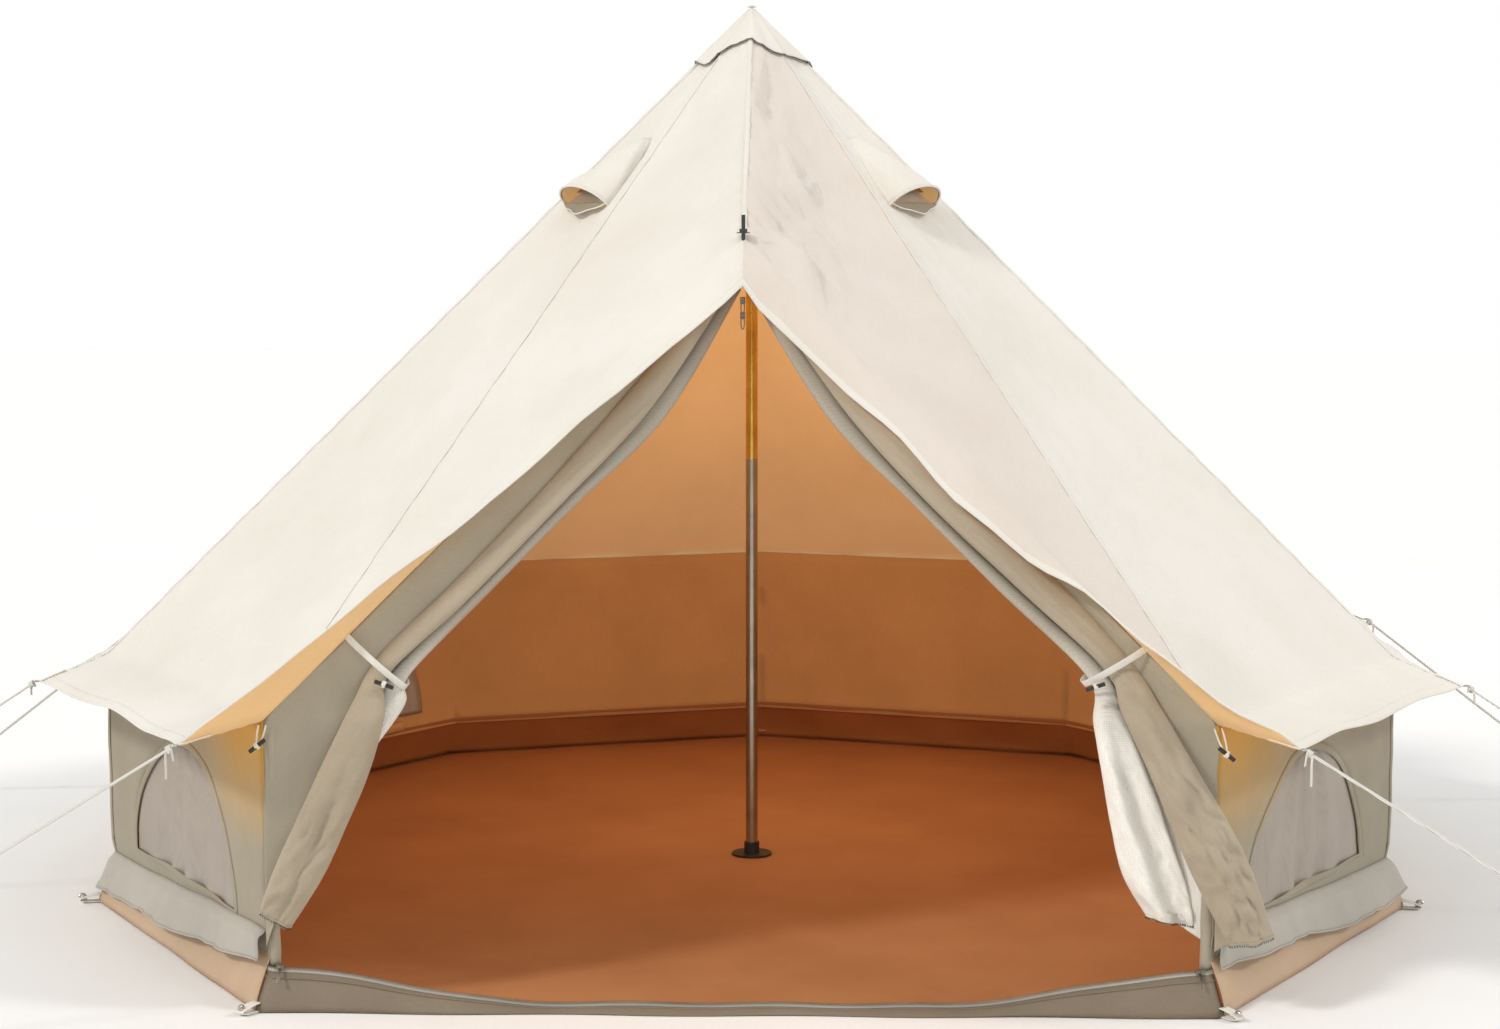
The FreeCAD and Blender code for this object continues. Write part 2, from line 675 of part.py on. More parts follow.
def door_ties():
    """Webbing strap across each gathered door."""
    for word, side in SIDES.items():
        start = door_point(side, 772, 668, 3.5)
        end = door_point(side, 655, 618, 3.5)
        along = (end - start).normalize()
        middle = (start + end) * 0.5
        plane = (door_point(side, 700, 800, 0) - door_point(side, 700, 600, 0)).normalize()
        outward = along.cross(plane).normalize()
        place = Placement(middle, Rotation(along, Vector(0, 0, 1), outward, "ZXY"))
        strap = box(("Sizes.tie_length", "Sizes.tie_width", "Sizes.tie_thick"), place)
        keep(strap, f"door_tie_{word}")


def toggle(name, middle, direction):
    """Round-bodied toggle with a waist for its cord, drawn along its own Z axis."""
    body = doc.addObject("PartDesign::Body", "Toggle")
    sketch = sketch_on(body, "XY_Plane", "Round")
    circle(sketch, "Sizes.toggle_radius")
    stick = pad(body, sketch, "Sizes.toggle_length")
    doc.recompute()
    rims = [f"Edge{n}" for n, edge in enumerate(stick.Shape.Edges, 1) if len(edge.Vertexes) == 1]
    fillet = body.newObject("PartDesign::Fillet", "Ends")
    fillet.Base = (stick, rims)
    fillet.Radius = 1.5
    body.Tip = fillet
    direction = Vector(direction).normalize()
    start = middle - direction * (size("toggle_length") / 2)
    across = Vector(0, 1, 0)
    body.Placement = aimed(start, direction, across)
    return keep(body, name)


def toggles():
    """Toggle on each door tie, and a spare one hanging by each post, in front of the roll on the right."""
    for word, side in SIDES.items():
        toggle(f"tie_toggle_{word}", door_point(side, 672, 622, -7), Vector(side, 0, 0.35))
        clear = 22 if side == LEFT else 67
        spare = Vector(side * 906, -size("door_line") - clear, 512)
        toggle(f"spare_toggle_{word}", spare, Vector(side, 0, -0.8))


def lip_direction(side):
    """Direction of the zip along the threshold, from a post towards the middle."""
    run = size("door_half") - 14 - size("knee_side")
    return Vector(-side * run, 0, size("lip_knee") - size("lip_post")).normalize()


def lip_point(side, travel):
    """Point on the threshold's top edge, travel millimetres from the post."""
    start = Vector(side * (size("door_half") - 14), -size("door_line") - 10.5, size("lip_post"))
    return start + lip_direction(side) * travel


def zip_fittings():
    """Zip slider parked at the foot of each post, with its pull tab hanging from it."""
    for word, side in SIDES.items():
        along = lip_direction(side)
        up = Vector(0, 1, 0).cross(along) * -side
        up = up if up.z > 0 else up * -1
        rotation = Rotation(along, Vector(0, 1, 0), up, "XZY")
        lift = size("slider_height") / 2 + 0.5
        place = Placement(lip_point(side, 12) + up * lift, rotation)
        slider = box(("Sizes.slider_length", "Sizes.slider_thick", "Sizes.slider_height"), place)
        keep(slider, f"zip_slider_{word}")
        body = doc.addObject("PartDesign::Body", "Pull")
        sketch = sketch_on(body, "XY_Plane", "Outline")
        rectangle(sketch, "Sizes.pull_width", "Sizes.pull_length")
        pad(body, sketch, "Sizes.pull_thick")
        eye = sketch_on(body, "XY_Plane", "Eye")
        circle(eye, "Sizes.pull_width / 4")
        pocket_through(body, eye)
        hang = lip_point(side, 12) + up * lift
        front = hang.y - size("slider_thick") / 2 - 0.6
        centre = Vector(hang.x, front, hang.z - size("pull_length") / 2 + 4)
        body.Placement = Placement(centre, Rotation(Vector(1, 0, 0), 90))
        keep(body, f"zip_pull_{word}")


# ---------------------------------------------------------------- guy ropes and pegs

# Where each guy rope is pegged down, as the distance out along X and Y from its eave tip.
PEG_OFFSETS = {1: (856, -278), 2: (740, 0), 3: (640, 190), 4: (250, 330), 5: (0, 330)}
ROPE_WORDS = {1: "front", 2: "front_side", 3: "rear_side", 4: "rear", 5: "back"}


def rope_names():
    """Name, corner number and side of every guy rope."""
    names = []
    for step, word in ROPE_WORDS.items():
        if step == BACK:
            names.append(("back", step, RIGHT))
            continue
        for side_word, side in SIDES.items():
            names.append((f"{word}_{side_word}", step, side))
    return names


def rope_ends(step, side):
    """Eave ring, peg, direction of the rope and the level direction across it."""
    tip = eave_ring(step, side)
    out_x, out_y = PEG_OFFSETS[step]
    peg = Vector(tip.x + side * out_x, tip.y + out_y, size("peg_lead"))
    direction = (peg - tip).normalize()
    across = direction.cross(Vector(0, 0, 1)).normalize()
    return tip, peg, direction, across


def rope_route(step, side):
    """Doubled rope: from the eyelet round the peg and back."""
    tip, peg, direction, across = rope_ends(step, side)
    near, far = size("rope_dia") * 0.6, size("rope_spread") / 2
    start = tip + direction * 14
    turn = peg + direction * 6.2
    return [start - across * near, turn - across * far, turn + across * far, start + across * near]


def guy_ropes():
    """Nine doubled guy ropes."""
    for name, step, side in rope_names():
        path = rounded_path(rope_route(step, side), f"rope {name}")
        print("rope", name, "length", round(path.Length))
        solid(tube(path, size("rope_dia") / 2), f"guy_rope_{name}")


def runner(name, step, side):
    """Flat runner with a hole for each strand of its rope."""
    tip, peg, direction, across = rope_ends(step, side)
    share = 0.72
    spot = tip + (peg - tip) * share
    body = doc.addObject("PartDesign::Body", "Runner")
    sketch = sketch_on(body, "XY_Plane", "Plate")
    rectangle(sketch, "Sizes.runner_length", "Sizes.runner_width")
    pad(body, sketch, "Sizes.runner_thick")
    holes = sketch_on(body, "XY_Plane", "Holes")
    offset = size("rope_dia") * 0.6 + (size("rope_spread") / 2 - size("rope_dia") * 0.6) * share
    circle(holes, "Sizes.runner_hole", f"{offset:.3f}")
    circle(holes, "Sizes.runner_hole", f"-{offset:.3f}")
    pocket_through(body, holes)
    z_axis = direction
    body.Placement = Placement(spot, Rotation(across, z_axis.cross(across), z_axis, "ZXY"))
    keep(body, f"guy_runner_{name}")


def guy_pegs():
    """Steel pegs leaning away from the tent, cut off at the ground, each with a hooked head."""
    pegs = []
    for name, step, side in rope_names():
        tip, peg, direction, across = rope_ends(step, side)
        lean = across.cross(direction).normalize()
        lean = lean if lean.z > 0 else lean * -1
        radius = size("peg_radius")
        head = peg + lean * 26
        shank = Part.makeCylinder(radius, 76, peg - lean * 50, lean)
        hook = Part.makeCylinder(radius, 16, head - lean * 3, direction * -1)
        ground = Part.makeBox(200, 200, 100, peg + Vector(-100, -100, -100 - size("peg_lead")))
        pegs.append(shank.fuse(hook).cut(ground).removeSplitter())
    solid(Part.makeCompound(pegs), "guy_pegs")


def eave_rings():
    """Metal ring at each eave tip, where the rope is tied."""
    rings = []
    for name, step, side in rope_names():
        place = Placement(eave_ring(step, side), Rotation())
        rings.append(ring_body("Sizes.eyelet_radius", "Sizes.eyelet_hole", "Sizes.webbing", place))
    group(rings, "eave_rings")


def base_pegs():
    """Webbing tab at each corner of the groundsheet, held down by a short peg."""
    tabs, stakes = [], []
    corners = [(step, side) for step in range(DOOR_POST, BACK) for side in (LEFT, RIGHT)] + [(BACK, RIGHT)]
    for step, side in corners:
        corner = wall_corner(step, side, 0, size("floor_flare"))
        outward = Vector(corner.x, corner.y, 0).normalize()
        turn = math.degrees(math.atan2(outward.y, outward.x))
        middle = corner + outward * size("tab_reach") + Vector(0, 0, size("webbing") / 2)
        tab = box(("Sizes.tab_length", "Sizes.webbing_width", "Sizes.webbing"),
                  Placement(middle, Rotation(Vector(0, 0, 1), turn)))
        spot = corner + outward * size("stake_reach")
        hole = Placement(spot, Rotation())
        tool = cylinder("stake_hole", "hole_depth", hole)
        tabs.append(cut(tab, tool))
        stake = cylinder("stake_radius", "stake_stand", hole)
        head = doc.addObject("Part::Sphere", "Head")
        head.setExpression("Radius", "Sizes.stake_radius * 1.6")
        head.Placement = Placement(spot + Vector(0, 0, size("stake_stand")), Rotation())
        fused = doc.addObject("Part::Fuse", "Stake")
        fused.Base = stake
        fused.Tool = head
        stakes.append(fused)
    group(tabs, "peg_tabs")
    group(stakes, "corner_pegs")


def build():
    """Every sub-part, from the ground up."""
    groundsheet()
    threshold()
    mud_skirt()
    screens = walls()
    roof_panels()
    valance()
    apex_cap()
    screens += vent_hoods()
    group(screens, "mesh_screens")
    centre_pole()
    door_frame()
    spike_hardware()
    door_cloths()
    door_ties()
    toggles()
    zip_fittings()
    guy_ropes()
    for name, step, side in rope_names():
        runner(name, step, side)
    guy_pegs()
    eave_rings()
    base_pegs()


def write():
    """Check every object and write one STEP file for each sub-part."""
    doc.recompute()
    for obj in doc.Objects:
        if "Invalid" in obj.State or "Error" in obj.State:
            raise ValueError(f"{obj.Label} failed")
    os.makedirs("parts", exist_ok=True)
    for part in PARTS:
        shape = part.Shape
        if shape.isNull() or not shape.isValid() or shape.Volume <= 0:
            raise ValueError(f"{part.Label} has no valid solid")
        shape.exportStep(f"parts/{part.Label}.step")
    print(len(PARTS), "sub-parts")


build()
write()
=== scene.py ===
import math

import bmesh
import bpy
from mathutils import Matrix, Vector, noise


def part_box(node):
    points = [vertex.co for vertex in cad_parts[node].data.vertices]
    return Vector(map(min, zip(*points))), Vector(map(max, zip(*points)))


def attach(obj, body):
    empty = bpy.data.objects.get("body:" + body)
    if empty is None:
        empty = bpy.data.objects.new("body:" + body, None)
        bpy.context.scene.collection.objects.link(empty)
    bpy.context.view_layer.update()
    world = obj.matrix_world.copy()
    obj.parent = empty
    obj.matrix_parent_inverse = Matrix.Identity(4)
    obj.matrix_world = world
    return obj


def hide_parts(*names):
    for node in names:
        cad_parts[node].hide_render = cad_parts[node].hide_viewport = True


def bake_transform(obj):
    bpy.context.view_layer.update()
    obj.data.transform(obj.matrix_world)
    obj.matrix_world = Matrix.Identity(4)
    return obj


# Bell tent, metres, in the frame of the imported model: origin at the foot of the centre pole, +Z up,
# -Y out through the door, +X to the right of somebody who faces the door.

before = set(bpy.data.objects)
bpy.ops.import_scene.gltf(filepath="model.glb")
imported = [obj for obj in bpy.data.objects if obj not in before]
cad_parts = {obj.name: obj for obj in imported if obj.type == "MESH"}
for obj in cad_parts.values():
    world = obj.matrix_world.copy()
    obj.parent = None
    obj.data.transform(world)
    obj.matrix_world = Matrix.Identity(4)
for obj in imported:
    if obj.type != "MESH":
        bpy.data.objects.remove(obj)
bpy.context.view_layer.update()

RIGHT, LEFT = 1, -1
SIDES = {"left": LEFT, "right": RIGHT}


def low(node):
    """Lowest corner of a CAD node's box."""
    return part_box(node)[0]


def high(node):
    """Highest corner of a CAD node's box."""
    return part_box(node)[1]


# ---------------------------------------------------------------- places, read from the frame

# A place is the edge of a CAD box, moved by a few millimetres to where the cloth or the fitting lies in it.
RING_REACH = 0.021                       # from an eave tip to the far edge of its ring
WALL_TOP = high("eave_valance").z
WALL_FOOT = low("walls_plain").z - 0.003
WALL_RADIUS = high("walls_plain").y + 0.001
DOOR_HALF = high("door_threshold").x + 0.014
DOOR_LINE = -low("door_threshold").y - 0.012
PEAK = Vector((0, (low("door_spike").y + high("door_spike").y) / 2, low("spike_washers").z - 0.009))
BROW = PEAK + Vector((0, -0.079, -0.094))
APEX = Vector((0, 0, high("roof_panels_front").z + 0.010))
EAVE_RADIUS = high("eave_rings").y - RING_REACH
EAVE_HEIGHT = low("eave_rings").z
TIP_HEIGHT = high("eave_rings").z - 0.002
TIP_SIDE = high("roof_panels_front").x + 0.0053
TIP_FRONT = -low("roof_panels_front").y + 0.0046
FLOOR_FLARE = 0.034                      # how far the groundsheet's foot stands out from the wall plan
CORNER_TURN = math.radians(36)
BACK = 5                                 # corner opposite the door; the door post is corner 1
CORNERS = [(step, RIGHT) for step in range(1, BACK + 1)] + [(step, LEFT) for step in range(BACK - 1, 0, -1)]
UP = Vector((0, 0, 1))


def middle_of(node):
    """Middle of a CAD node's box."""
    return (low(node) + high(node)) / 2


def away(point):
    """Level direction from the pole to a point."""
    return Vector((point.x, point.y, 0)).normalized()


def upward(direction):
    """A direction or its opposite, whichever looks up."""
    return -direction if direction.z < 0 else direction


def wall_corner(step, side, height, outset=0.0):
    """Corner of the wall plan at a height, moved outwards from the pole by outset."""
    angle = CORNER_TURN * step
    x, y = WALL_RADIUS * math.sin(angle), -WALL_RADIUS * math.cos(angle)
    if step == 1:
        x, y = DOOR_HALF, -DOOR_LINE
    scale = 1 + outset / math.hypot(x, y)
    return Vector((side * x * scale, y * scale, height))


def eave_tip(step, side):
    """Tip of the eave where a guy rope is tied."""
    if step == 1:
        return Vector((side * TIP_SIDE, -TIP_FRONT, TIP_HEIGHT))
    angle = CORNER_TURN * step
    return Vector((side * EAVE_RADIUS * math.sin(angle), -EAVE_RADIUS * math.cos(angle), EAVE_HEIGHT))


def door_point(side, x, z, depth=0.0):
    """Point of the door's surface, depth inside it; the surface leans back above the wall's top."""
    lean = max(0.0, z - WALL_TOP) / (PEAK.z - WALL_TOP)
    return Vector((side * x, -DOOR_LINE + lean * (DOOR_LINE + PEAK.y) + depth, z))


# ---------------------------------------------------------------- mesh tools

def smooth(value):
    """Soft step from 0 to 1."""
    value = min(1.0, max(0.0, value))
    return value * value * (3 - 2 * value)


def ripple(point, scale, seed=0.0):
    """Smooth noise from -1 to 1 with features of about the given size."""
    return noise.noise(Vector(point) / scale + Vector((seed, seed * 1.7, -seed)))


def spread(first, last, count):
    """Evenly spaced values."""
    return [first + (last - first) * index / (count - 1) for index in range(count)]


def turns(count):
    """Evenly spaced angles of a whole turn."""
    return spread(0, 2 * math.pi, count + 1)[:-1]


def shifted(points, y, z):
    """Points moved along y and z."""
    return [point + Vector((0, y, z)) for point in points]


def area_of(piece):
    """Area of a mesh object's faces."""
    return sum(polygon.area for polygon in piece.data.polygons)


def through(points, share):
    """Point of a smooth curve through the given points, at a share of their number."""
    place = min(max(share, 0.0), 1.0) * (len(points) - 1)
    index = min(int(place), len(points) - 2)
    rest = place - index
    around = [points[min(max(index + offset, 0), len(points) - 1)] for offset in (-1, 0, 1, 2)]
    before, start, end, after = (Vector(point) for point in around)
    return 0.5 * (2 * start + (end - before) * rest + (2 * before - 5 * start + 4 * end - after) * rest ** 2
                  + (3 * start - before - 3 * end + after) * rest ** 3)


def add_object(name, data):
    """New object in the scene."""
    piece = bpy.data.objects.new(name, data)
    bpy.context.scene.collection.objects.link(piece)
    return piece


def new_object(name, vertices, faces, finish, body="tent"):
    """Smooth-shaded mesh object that rides on a body."""
    mesh = bpy.data.meshes.new(name)
    mesh.from_pydata([tuple(point) for point in vertices], [], faces)
    mesh.validate()
    mesh.polygons.foreach_set("use_smooth", [True] * len(mesh.polygons))
    piece = add_object(name, mesh)
    for material in finish if isinstance(finish, (list, tuple)) else [finish]:
        mesh.materials.append(material)
    if body:
        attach(piece, body)
    return piece


def grid_faces(rows, columns, closed=False, start=0):
    """Faces of a grid of points stored row by row."""
    faces = []
    for row in range(rows - 1):
        for column in range(columns if closed else columns - 1):
            following = (column + 1) % columns
            first, second = start + row * columns, start + (row + 1) * columns
            faces.append((first + column, first + following, second + following, second + column))
    return faces


def grid(name, rows, finish, body="tent", closed=False, flip=False):
    """Mesh object from rows of points."""
    vertices = [point for row in rows for point in row]
    faces = grid_faces(len(rows), len(rows[0]), closed)
    if flip:
        faces = [tuple(reversed(face)) for face in faces]
    return new_object(name, vertices, faces, finish, body)


def thicken(piece, thickness, offset=-1.0, inner_material=0):
    """Give a sheet its thickness; the inside may have the piece's second material."""
    modifier = piece.modifiers.new("Thickness", "SOLIDIFY")
    modifier.thickness = thickness
    modifier.offset = offset
    modifier.use_even_offset = False
    modifier.material_offset = inner_material
    apply_modifiers(piece)
    return piece


def apply_modifiers(piece):
    """Replace a mesh by its evaluated form."""
    evaluated = piece.evaluated_get(bpy.context.evaluated_depsgraph_get())
    mesh = bpy.data.meshes.new_from_object(evaluated)
    piece.modifiers.clear()
    piece.data = mesh


def faces_outward(piece, centre=Vector((0, 0, 0.4))):
    """Turn a sheet's faces so that they look away from a centre."""
    if sum(face.normal.dot(face.center - centre) * face.area for face in piece.data.polygons) < 0:
        piece.data.flip_normals()
    return piece


def join(name, pieces):
    """Several mesh objects as one."""
    bpy.ops.object.select_all(action="DESELECT")
    for piece in pieces:
        piece.select_set(True)
    bpy.context.view_layer.objects.active = pieces[0]
    bpy.ops.object.join()
    pieces[0].name = name
    return pieces[0]


def tube(name, points, radius, finish, body="tent", closed=False, sides=8):
    """Solid round cord along a line of points; radius may depend on the share of the line."""
    rings = []
    count = len(points)
    up = Vector((0.31, 0.17, 0.94))
    for index, point in enumerate(points):
        if closed:
            along = (points[(index + 1) % count] - points[index - 1]).normalized()
        else:
            along = (points[min(index + 1, count - 1)] - points[max(index - 1, 0)]).normalized()
        across = along.cross(up).normalized()
        above = across.cross(along).normalized()
        up = above
        size = radius(index / (count - 1)) if callable(radius) else radius
        rings.append([point + across * math.cos(turn) * size + above * math.sin(turn) * size
                      for turn in turns(sides)])
    vertices = [point for ring in rings for point in ring]
    faces = grid_faces(count, sides, True)
    if closed:
        last = (count - 1) * sides
        faces += [(last + turn, last + (turn + 1) % sides, (turn + 1) % sides, turn) for turn in range(sides)]
    else:
        faces.append(tuple(reversed(range(sides))))
        faces.append(tuple(range((count - 1) * sides, count * sides)))
    return new_object(name, vertices, faces, finish, body)


def ribbon(name, points, across, width, thickness, finish, body="tent"):
    """Flat strap along a line of points; across is the direction of its width."""
    rows = []
    count = len(points)
    for index, point in enumerate(points):
        along = (points[min(index + 1, count - 1)] - points[max(index - 1, 0)]).normalized()
        normal = along.cross(across).normalized()
        side = normal.cross(along).normalized()
        half = side * width / 2
        lift = normal * thickness / 2
        rows.append([point - half + lift, point + half + lift, point + half - lift, point - half - lift])
    vertices = [point for row in rows for point in row]
    faces = grid_faces(count, 4, True)
    faces.append((3, 2, 1, 0))
    faces.append(tuple(range((count - 1) * 4, count * 4)))
    return rounded(new_object(name, vertices, faces, finish, body), thickness * 0.35, 2)


def rounded(piece, width, segments):
    """Round a piece's edges."""
    modifier = piece.modifiers.new("Rounding", "BEVEL")
    modifier.width = width
    modifier.segments = segments
    apply_modifiers(piece)
    return piece


BLOCK_FACES = ((0, 1, 3, 2), (4, 6, 7, 5), (0, 4, 5, 1), (2, 3, 7, 6), (0, 2, 6, 4), (1, 5, 7, 3))


def block_corners(centre, axes, sizes):
    """Corners of a block along its three directions."""
    halves = [axis * size / 2 for axis, size in zip(axes, sizes)]
    return [centre + halves[0] * first + halves[1] * second + halves[2] * third
            for first in (-1, 1) for second in (-1, 1) for third in (-1, 1)]


def block(name, centre, axes, sizes, finish, body="tent", bevel=0.25):
    """Moulded or cast block with rounded edges; axes are its three directions."""
    piece = new_object(name, block_corners(centre, axes, sizes), BLOCK_FACES, finish, body)
    return rounded(piece, min(sizes) * bevel, 3)


# ---------------------------------------------------------------- materials

class Finish:
    """A material in the making: its nodes, and the principled shader that they feed."""

    def __init__(self, name):
        self.material = bpy.data.materials.new(name)
        self.material.use_nodes = True
        self.tree = self.material.node_tree
        self.shader = self.tree.nodes["Principled BSDF"]

    def feed(self, socket, value):
        """Link an output to an input socket, or set the socket to a plain value."""
        if isinstance(value, bpy.types.NodeSocket):
            self.tree.links.new(value, socket)
        else:
            socket.default_value = value

    def node(self, kind, inputs, **settings):
        """New node with its settings and its inputs by name or number."""
        node = self.tree.nodes.new(f"ShaderNode{kind}")
        for name, value in settings.items():
            setattr(node, name, value)
        for name, value in inputs.items():
            self.feed(node.inputs[name], value)
        return node

    def shade(self, **inputs):
        """Feed the shader's inputs; an underscore stands for a space in their names."""
        for name, value in inputs.items():
            self.feed(self.shader.inputs[name.replace("_", " ")], value)

    def place(self, stretch=(1, 1, 1)):
        """Object coordinates, stretched."""
        source = self.node("TexCoord", {}).outputs["Object"]
        return self.node("Mapping", {"Vector": source, "Scale": stretch}).outputs["Vector"]

    def noise(self, vector, scale, detail=3.0, roughness=0.55):
        """Noise texture fed by a vector."""
        inputs = {"Vector": vector, "Scale": scale, "Detail": detail, "Roughness": roughness}
        return self.node("TexNoise", inputs).outputs["Fac"]

    def ramp(self, value, *stops):
        """Colour between two (place, colour) stops."""
        node = self.node("ValToRGB", {"Fac": value})
        for element, (place, colour) in zip(node.color_ramp.elements, stops):
            element.position = place
            element.color = (*colour, 1)
        return node.outputs["Color"]

    def bump(self, height, strength, distance, **under):
        """Bump from a height, on top of another bump if one is given as Normal."""
        inputs = {"Height": height, "Strength": strength, "Distance": distance, **under}
        return self.node("Bump", inputs).outputs["Normal"]

    def maths(self, operation, first, second):
        """Arithmetic on two outputs or numbers."""
        return self.node("Math", {0: first, 1: second}, operation=operation).outputs["Value"]

    def scaled(self, value, factor, offset):
        """Value times factor plus offset."""
        return self.maths("ADD", self.maths("MULTIPLY", value, factor), offset)

    def mapped(self, value, *ends):
        """Value carried from one range to another: from low, from high, to low, to high."""
        return self.node("MapRange", {0: value, **dict(enumerate(ends, 1))}).outputs[0]

    def weave(self, vector, pitch):
        """Height of a plain weave: threads along three directions of the object's space."""
        inputs = {"Vector": vector, "Scale": 0.314 / pitch, "Distortion": 0.6, "Detail Scale": 2.0}
        threads = [self.node("TexWave", inputs, bands_direction=way).outputs["Fac"] for way in "XYZ"]
        return self.maths("ADD", self.maths("MAXIMUM", threads[0], threads[1]), threads[2])


def fabric(name, colour, shade, pitch=0.0022, rough=0.86, sheen=0.25, glow=0.0, crease=0.35, eave_light=None):
    """Woven cloth with weave and slubs in its bump; it may glow with painted light, and painted golden light
    tints it under the eave.
    """
    finish = Finish(name)
    vector = finish.place()
    fine = finish.noise(vector, 260.0, 2.0)
    mixed = finish.maths("ADD", finish.maths("MULTIPLY", finish.noise(vector, 3.1, 4.0), 0.75),
                         finish.maths("MULTIPLY", fine, 0.25))
    tone = finish.ramp(mixed, (0.32, shade), (0.62, colour))
    # painted light: golden light from the eave, painted into the cloth's colour
    if eave_light:
        tone = under_eave(finish, vector, tone, eave_light)
    rumple = finish.bump(finish.noise(vector, 26.0, 4.0, 0.6), crease, 0.004)
    threads = finish.bump(finish.weave(vector, pitch), 0.30, 0.0004, Normal=rumple)
    finish.shade(Base_Color=tone, Normal=finish.bump(fine, 0.25, 0.0006, Normal=threads),
                 Roughness=finish.scaled(fine, 0.12, rough - 0.06), Specular_IOR_Level=0.25,
                 Sheen_Weight=sheen, Sheen_Roughness=0.5)
    # painted light: the cloth glows, standing in for the sun that comes through the canvas
    if glow:
        finish.shade(Emission_Color=(*colour, 1), Emission_Strength=glow)
    return finish.material


def under_eave(finish, vector, tone, eave_light):
    """Painted light: colour that turns golden high on the walls beside the door, where the light comes
    through the eave.
    """
    split = finish.node("SeparateXYZ", {"Vector": vector})
    high_up = finish.mapped(split.outputs["Z"], 0.29, 0.52, 0.0, 1.0)
    near_door = finish.mapped(split.outputs["Y"], -0.85, -1.15, 0.0, 1.0)
    share = finish.maths("MULTIPLY", high_up, near_door)
    return finish.node("Mix", {0: share, 6: tone, 7: (*eave_light, 1)}, data_type="RGBA").outputs[2]


def netting(name, colour, cover, shaded=None):
    """Insect mesh: a fine net that lets part of the light through, with painted shade that makes it darker
    high up.
    """
    finish = Finish(name)
    vector = finish.place()
    net = finish.weave(vector, 0.0032)
    tone = (*colour, 1)
    # painted shade: higher up, the net takes its darker, shaded colour
    if shaded:
        split = finish.node("SeparateXYZ", {"Vector": vector})
        tone = finish.ramp(split.outputs["Z"], (0.50, colour), (0.72, shaded))
    cloud = finish.scaled(finish.noise(vector, 9.0), 0.20, cover - 0.24)
    alpha = finish.maths("ADD", finish.maths("MULTIPLY", net, 0.16), cloud)
    finish.shade(Base_Color=tone, Roughness=0.7, Specular_IOR_Level=0.3, Alpha=alpha,
                 Normal=finish.bump(net, 0.3, 0.0004))
    return finish.material


def metal(name, colour, tint, rough, brushed=(1, 1, 1)):
    """Metal with a drawn or worn surface."""
    finish = Finish(name)
    grain = finish.noise(finish.place(brushed), 420.0)
    tone = finish.ramp(finish.noise(finish.place(), 14.0, 4.0), (0.35, tint), (0.65, colour))
    finish.shade(Base_Color=tone, Metallic=1.0, Roughness=finish.scaled(grain, 0.22, rough - 0.1),
                 Normal=finish.bump(grain, 0.15, 0.0002))
    return finish.material


def plastic(name, colour, shade, rough=0.42):
    """Moulded plastic with a fine texture."""
    finish = Finish(name)
    vector = finish.place()
    speckle = finish.noise(vector, 900.0, 2.0)
    tone = finish.ramp(finish.noise(vector, 40.0), (0.35, shade), (0.7, colour))
    finish.shade(Base_Color=tone, Roughness=finish.scaled(speckle, 0.2, rough - 0.1),
                 Normal=finish.bump(speckle, 0.2, 0.0002))
    return finish.material


def twisted(name, colour, shade):
    """Twisted cord: slanting strands from a wave across the cord."""
    finish = Finish(name)
    inputs = {"Vector": finish.place(), "Scale": 170.0, "Distortion": 1.0}
    wave = finish.node("TexWave", inputs, bands_direction="DIAGONAL").outputs["Fac"]
    finish.shade(Base_Color=finish.ramp(wave, (0.1, shade), (0.6, colour)), Roughness=0.8,
                 Normal=finish.bump(wave, 0.6, 0.0008))
    return finish.material


ROOF_OUT = fabric("roof_canvas_outside", (0.79, 0.755, 0.69), (0.73, 0.68, 0.60), crease=0.45)
ROOF_SHADED = fabric("roof_canvas_shaded", (0.735, 0.665, 0.595), (0.675, 0.60, 0.52), crease=0.45)
# painted light: the inside of the roof glows as if lit through the canvas
ROOF_IN = fabric("roof_canvas_inside", (0.70, 0.45, 0.21), (0.60, 0.36, 0.15), glow=0.30, crease=0.2)
# painted light: the walls turn golden beside the door, where the sun comes through the eave
WALL_OUT = fabric("wall_canvas_outside", (0.335, 0.295, 0.215), (0.275, 0.24, 0.17),
                  eave_light=(0.62, 0.33, 0.035))
# painted light: the inside of the walls glows as if lit through the canvas
WALL_IN = fabric("wall_canvas_inside", (0.54, 0.285, 0.11), (0.44, 0.215, 0.075), glow=0.13)
DOOR_OUT = fabric("door_canvas_outside", (0.415, 0.37, 0.28), (0.34, 0.30, 0.225))
DOOR_IN = fabric("door_canvas_inside", (0.45, 0.38, 0.28), (0.37, 0.305, 0.22))
PIPING = fabric("piping", (0.16, 0.14, 0.115), (0.09, 0.08, 0.07), crease=0.1)
GROUND_OUT = fabric("groundsheet_outside", (0.60, 0.43, 0.285), (0.48, 0.34, 0.225), rough=0.6, sheen=0.05)
GROUND_IN = fabric("groundsheet_inside", (0.47, 0.205, 0.080), (0.39, 0.160, 0.058), rough=0.55, sheen=0.05)
SKIRT = fabric("skirt_canvas", (0.47, 0.44, 0.385), (0.38, 0.355, 0.31))
LIP = fabric("threshold_cloth", (0.25, 0.20, 0.145), (0.19, 0.15, 0.105), rough=0.6, sheen=0.05)
WEBBING = fabric("webbing_tape", (0.83, 0.81, 0.75), (0.66, 0.62, 0.54), pitch=0.0015, crease=0.1)
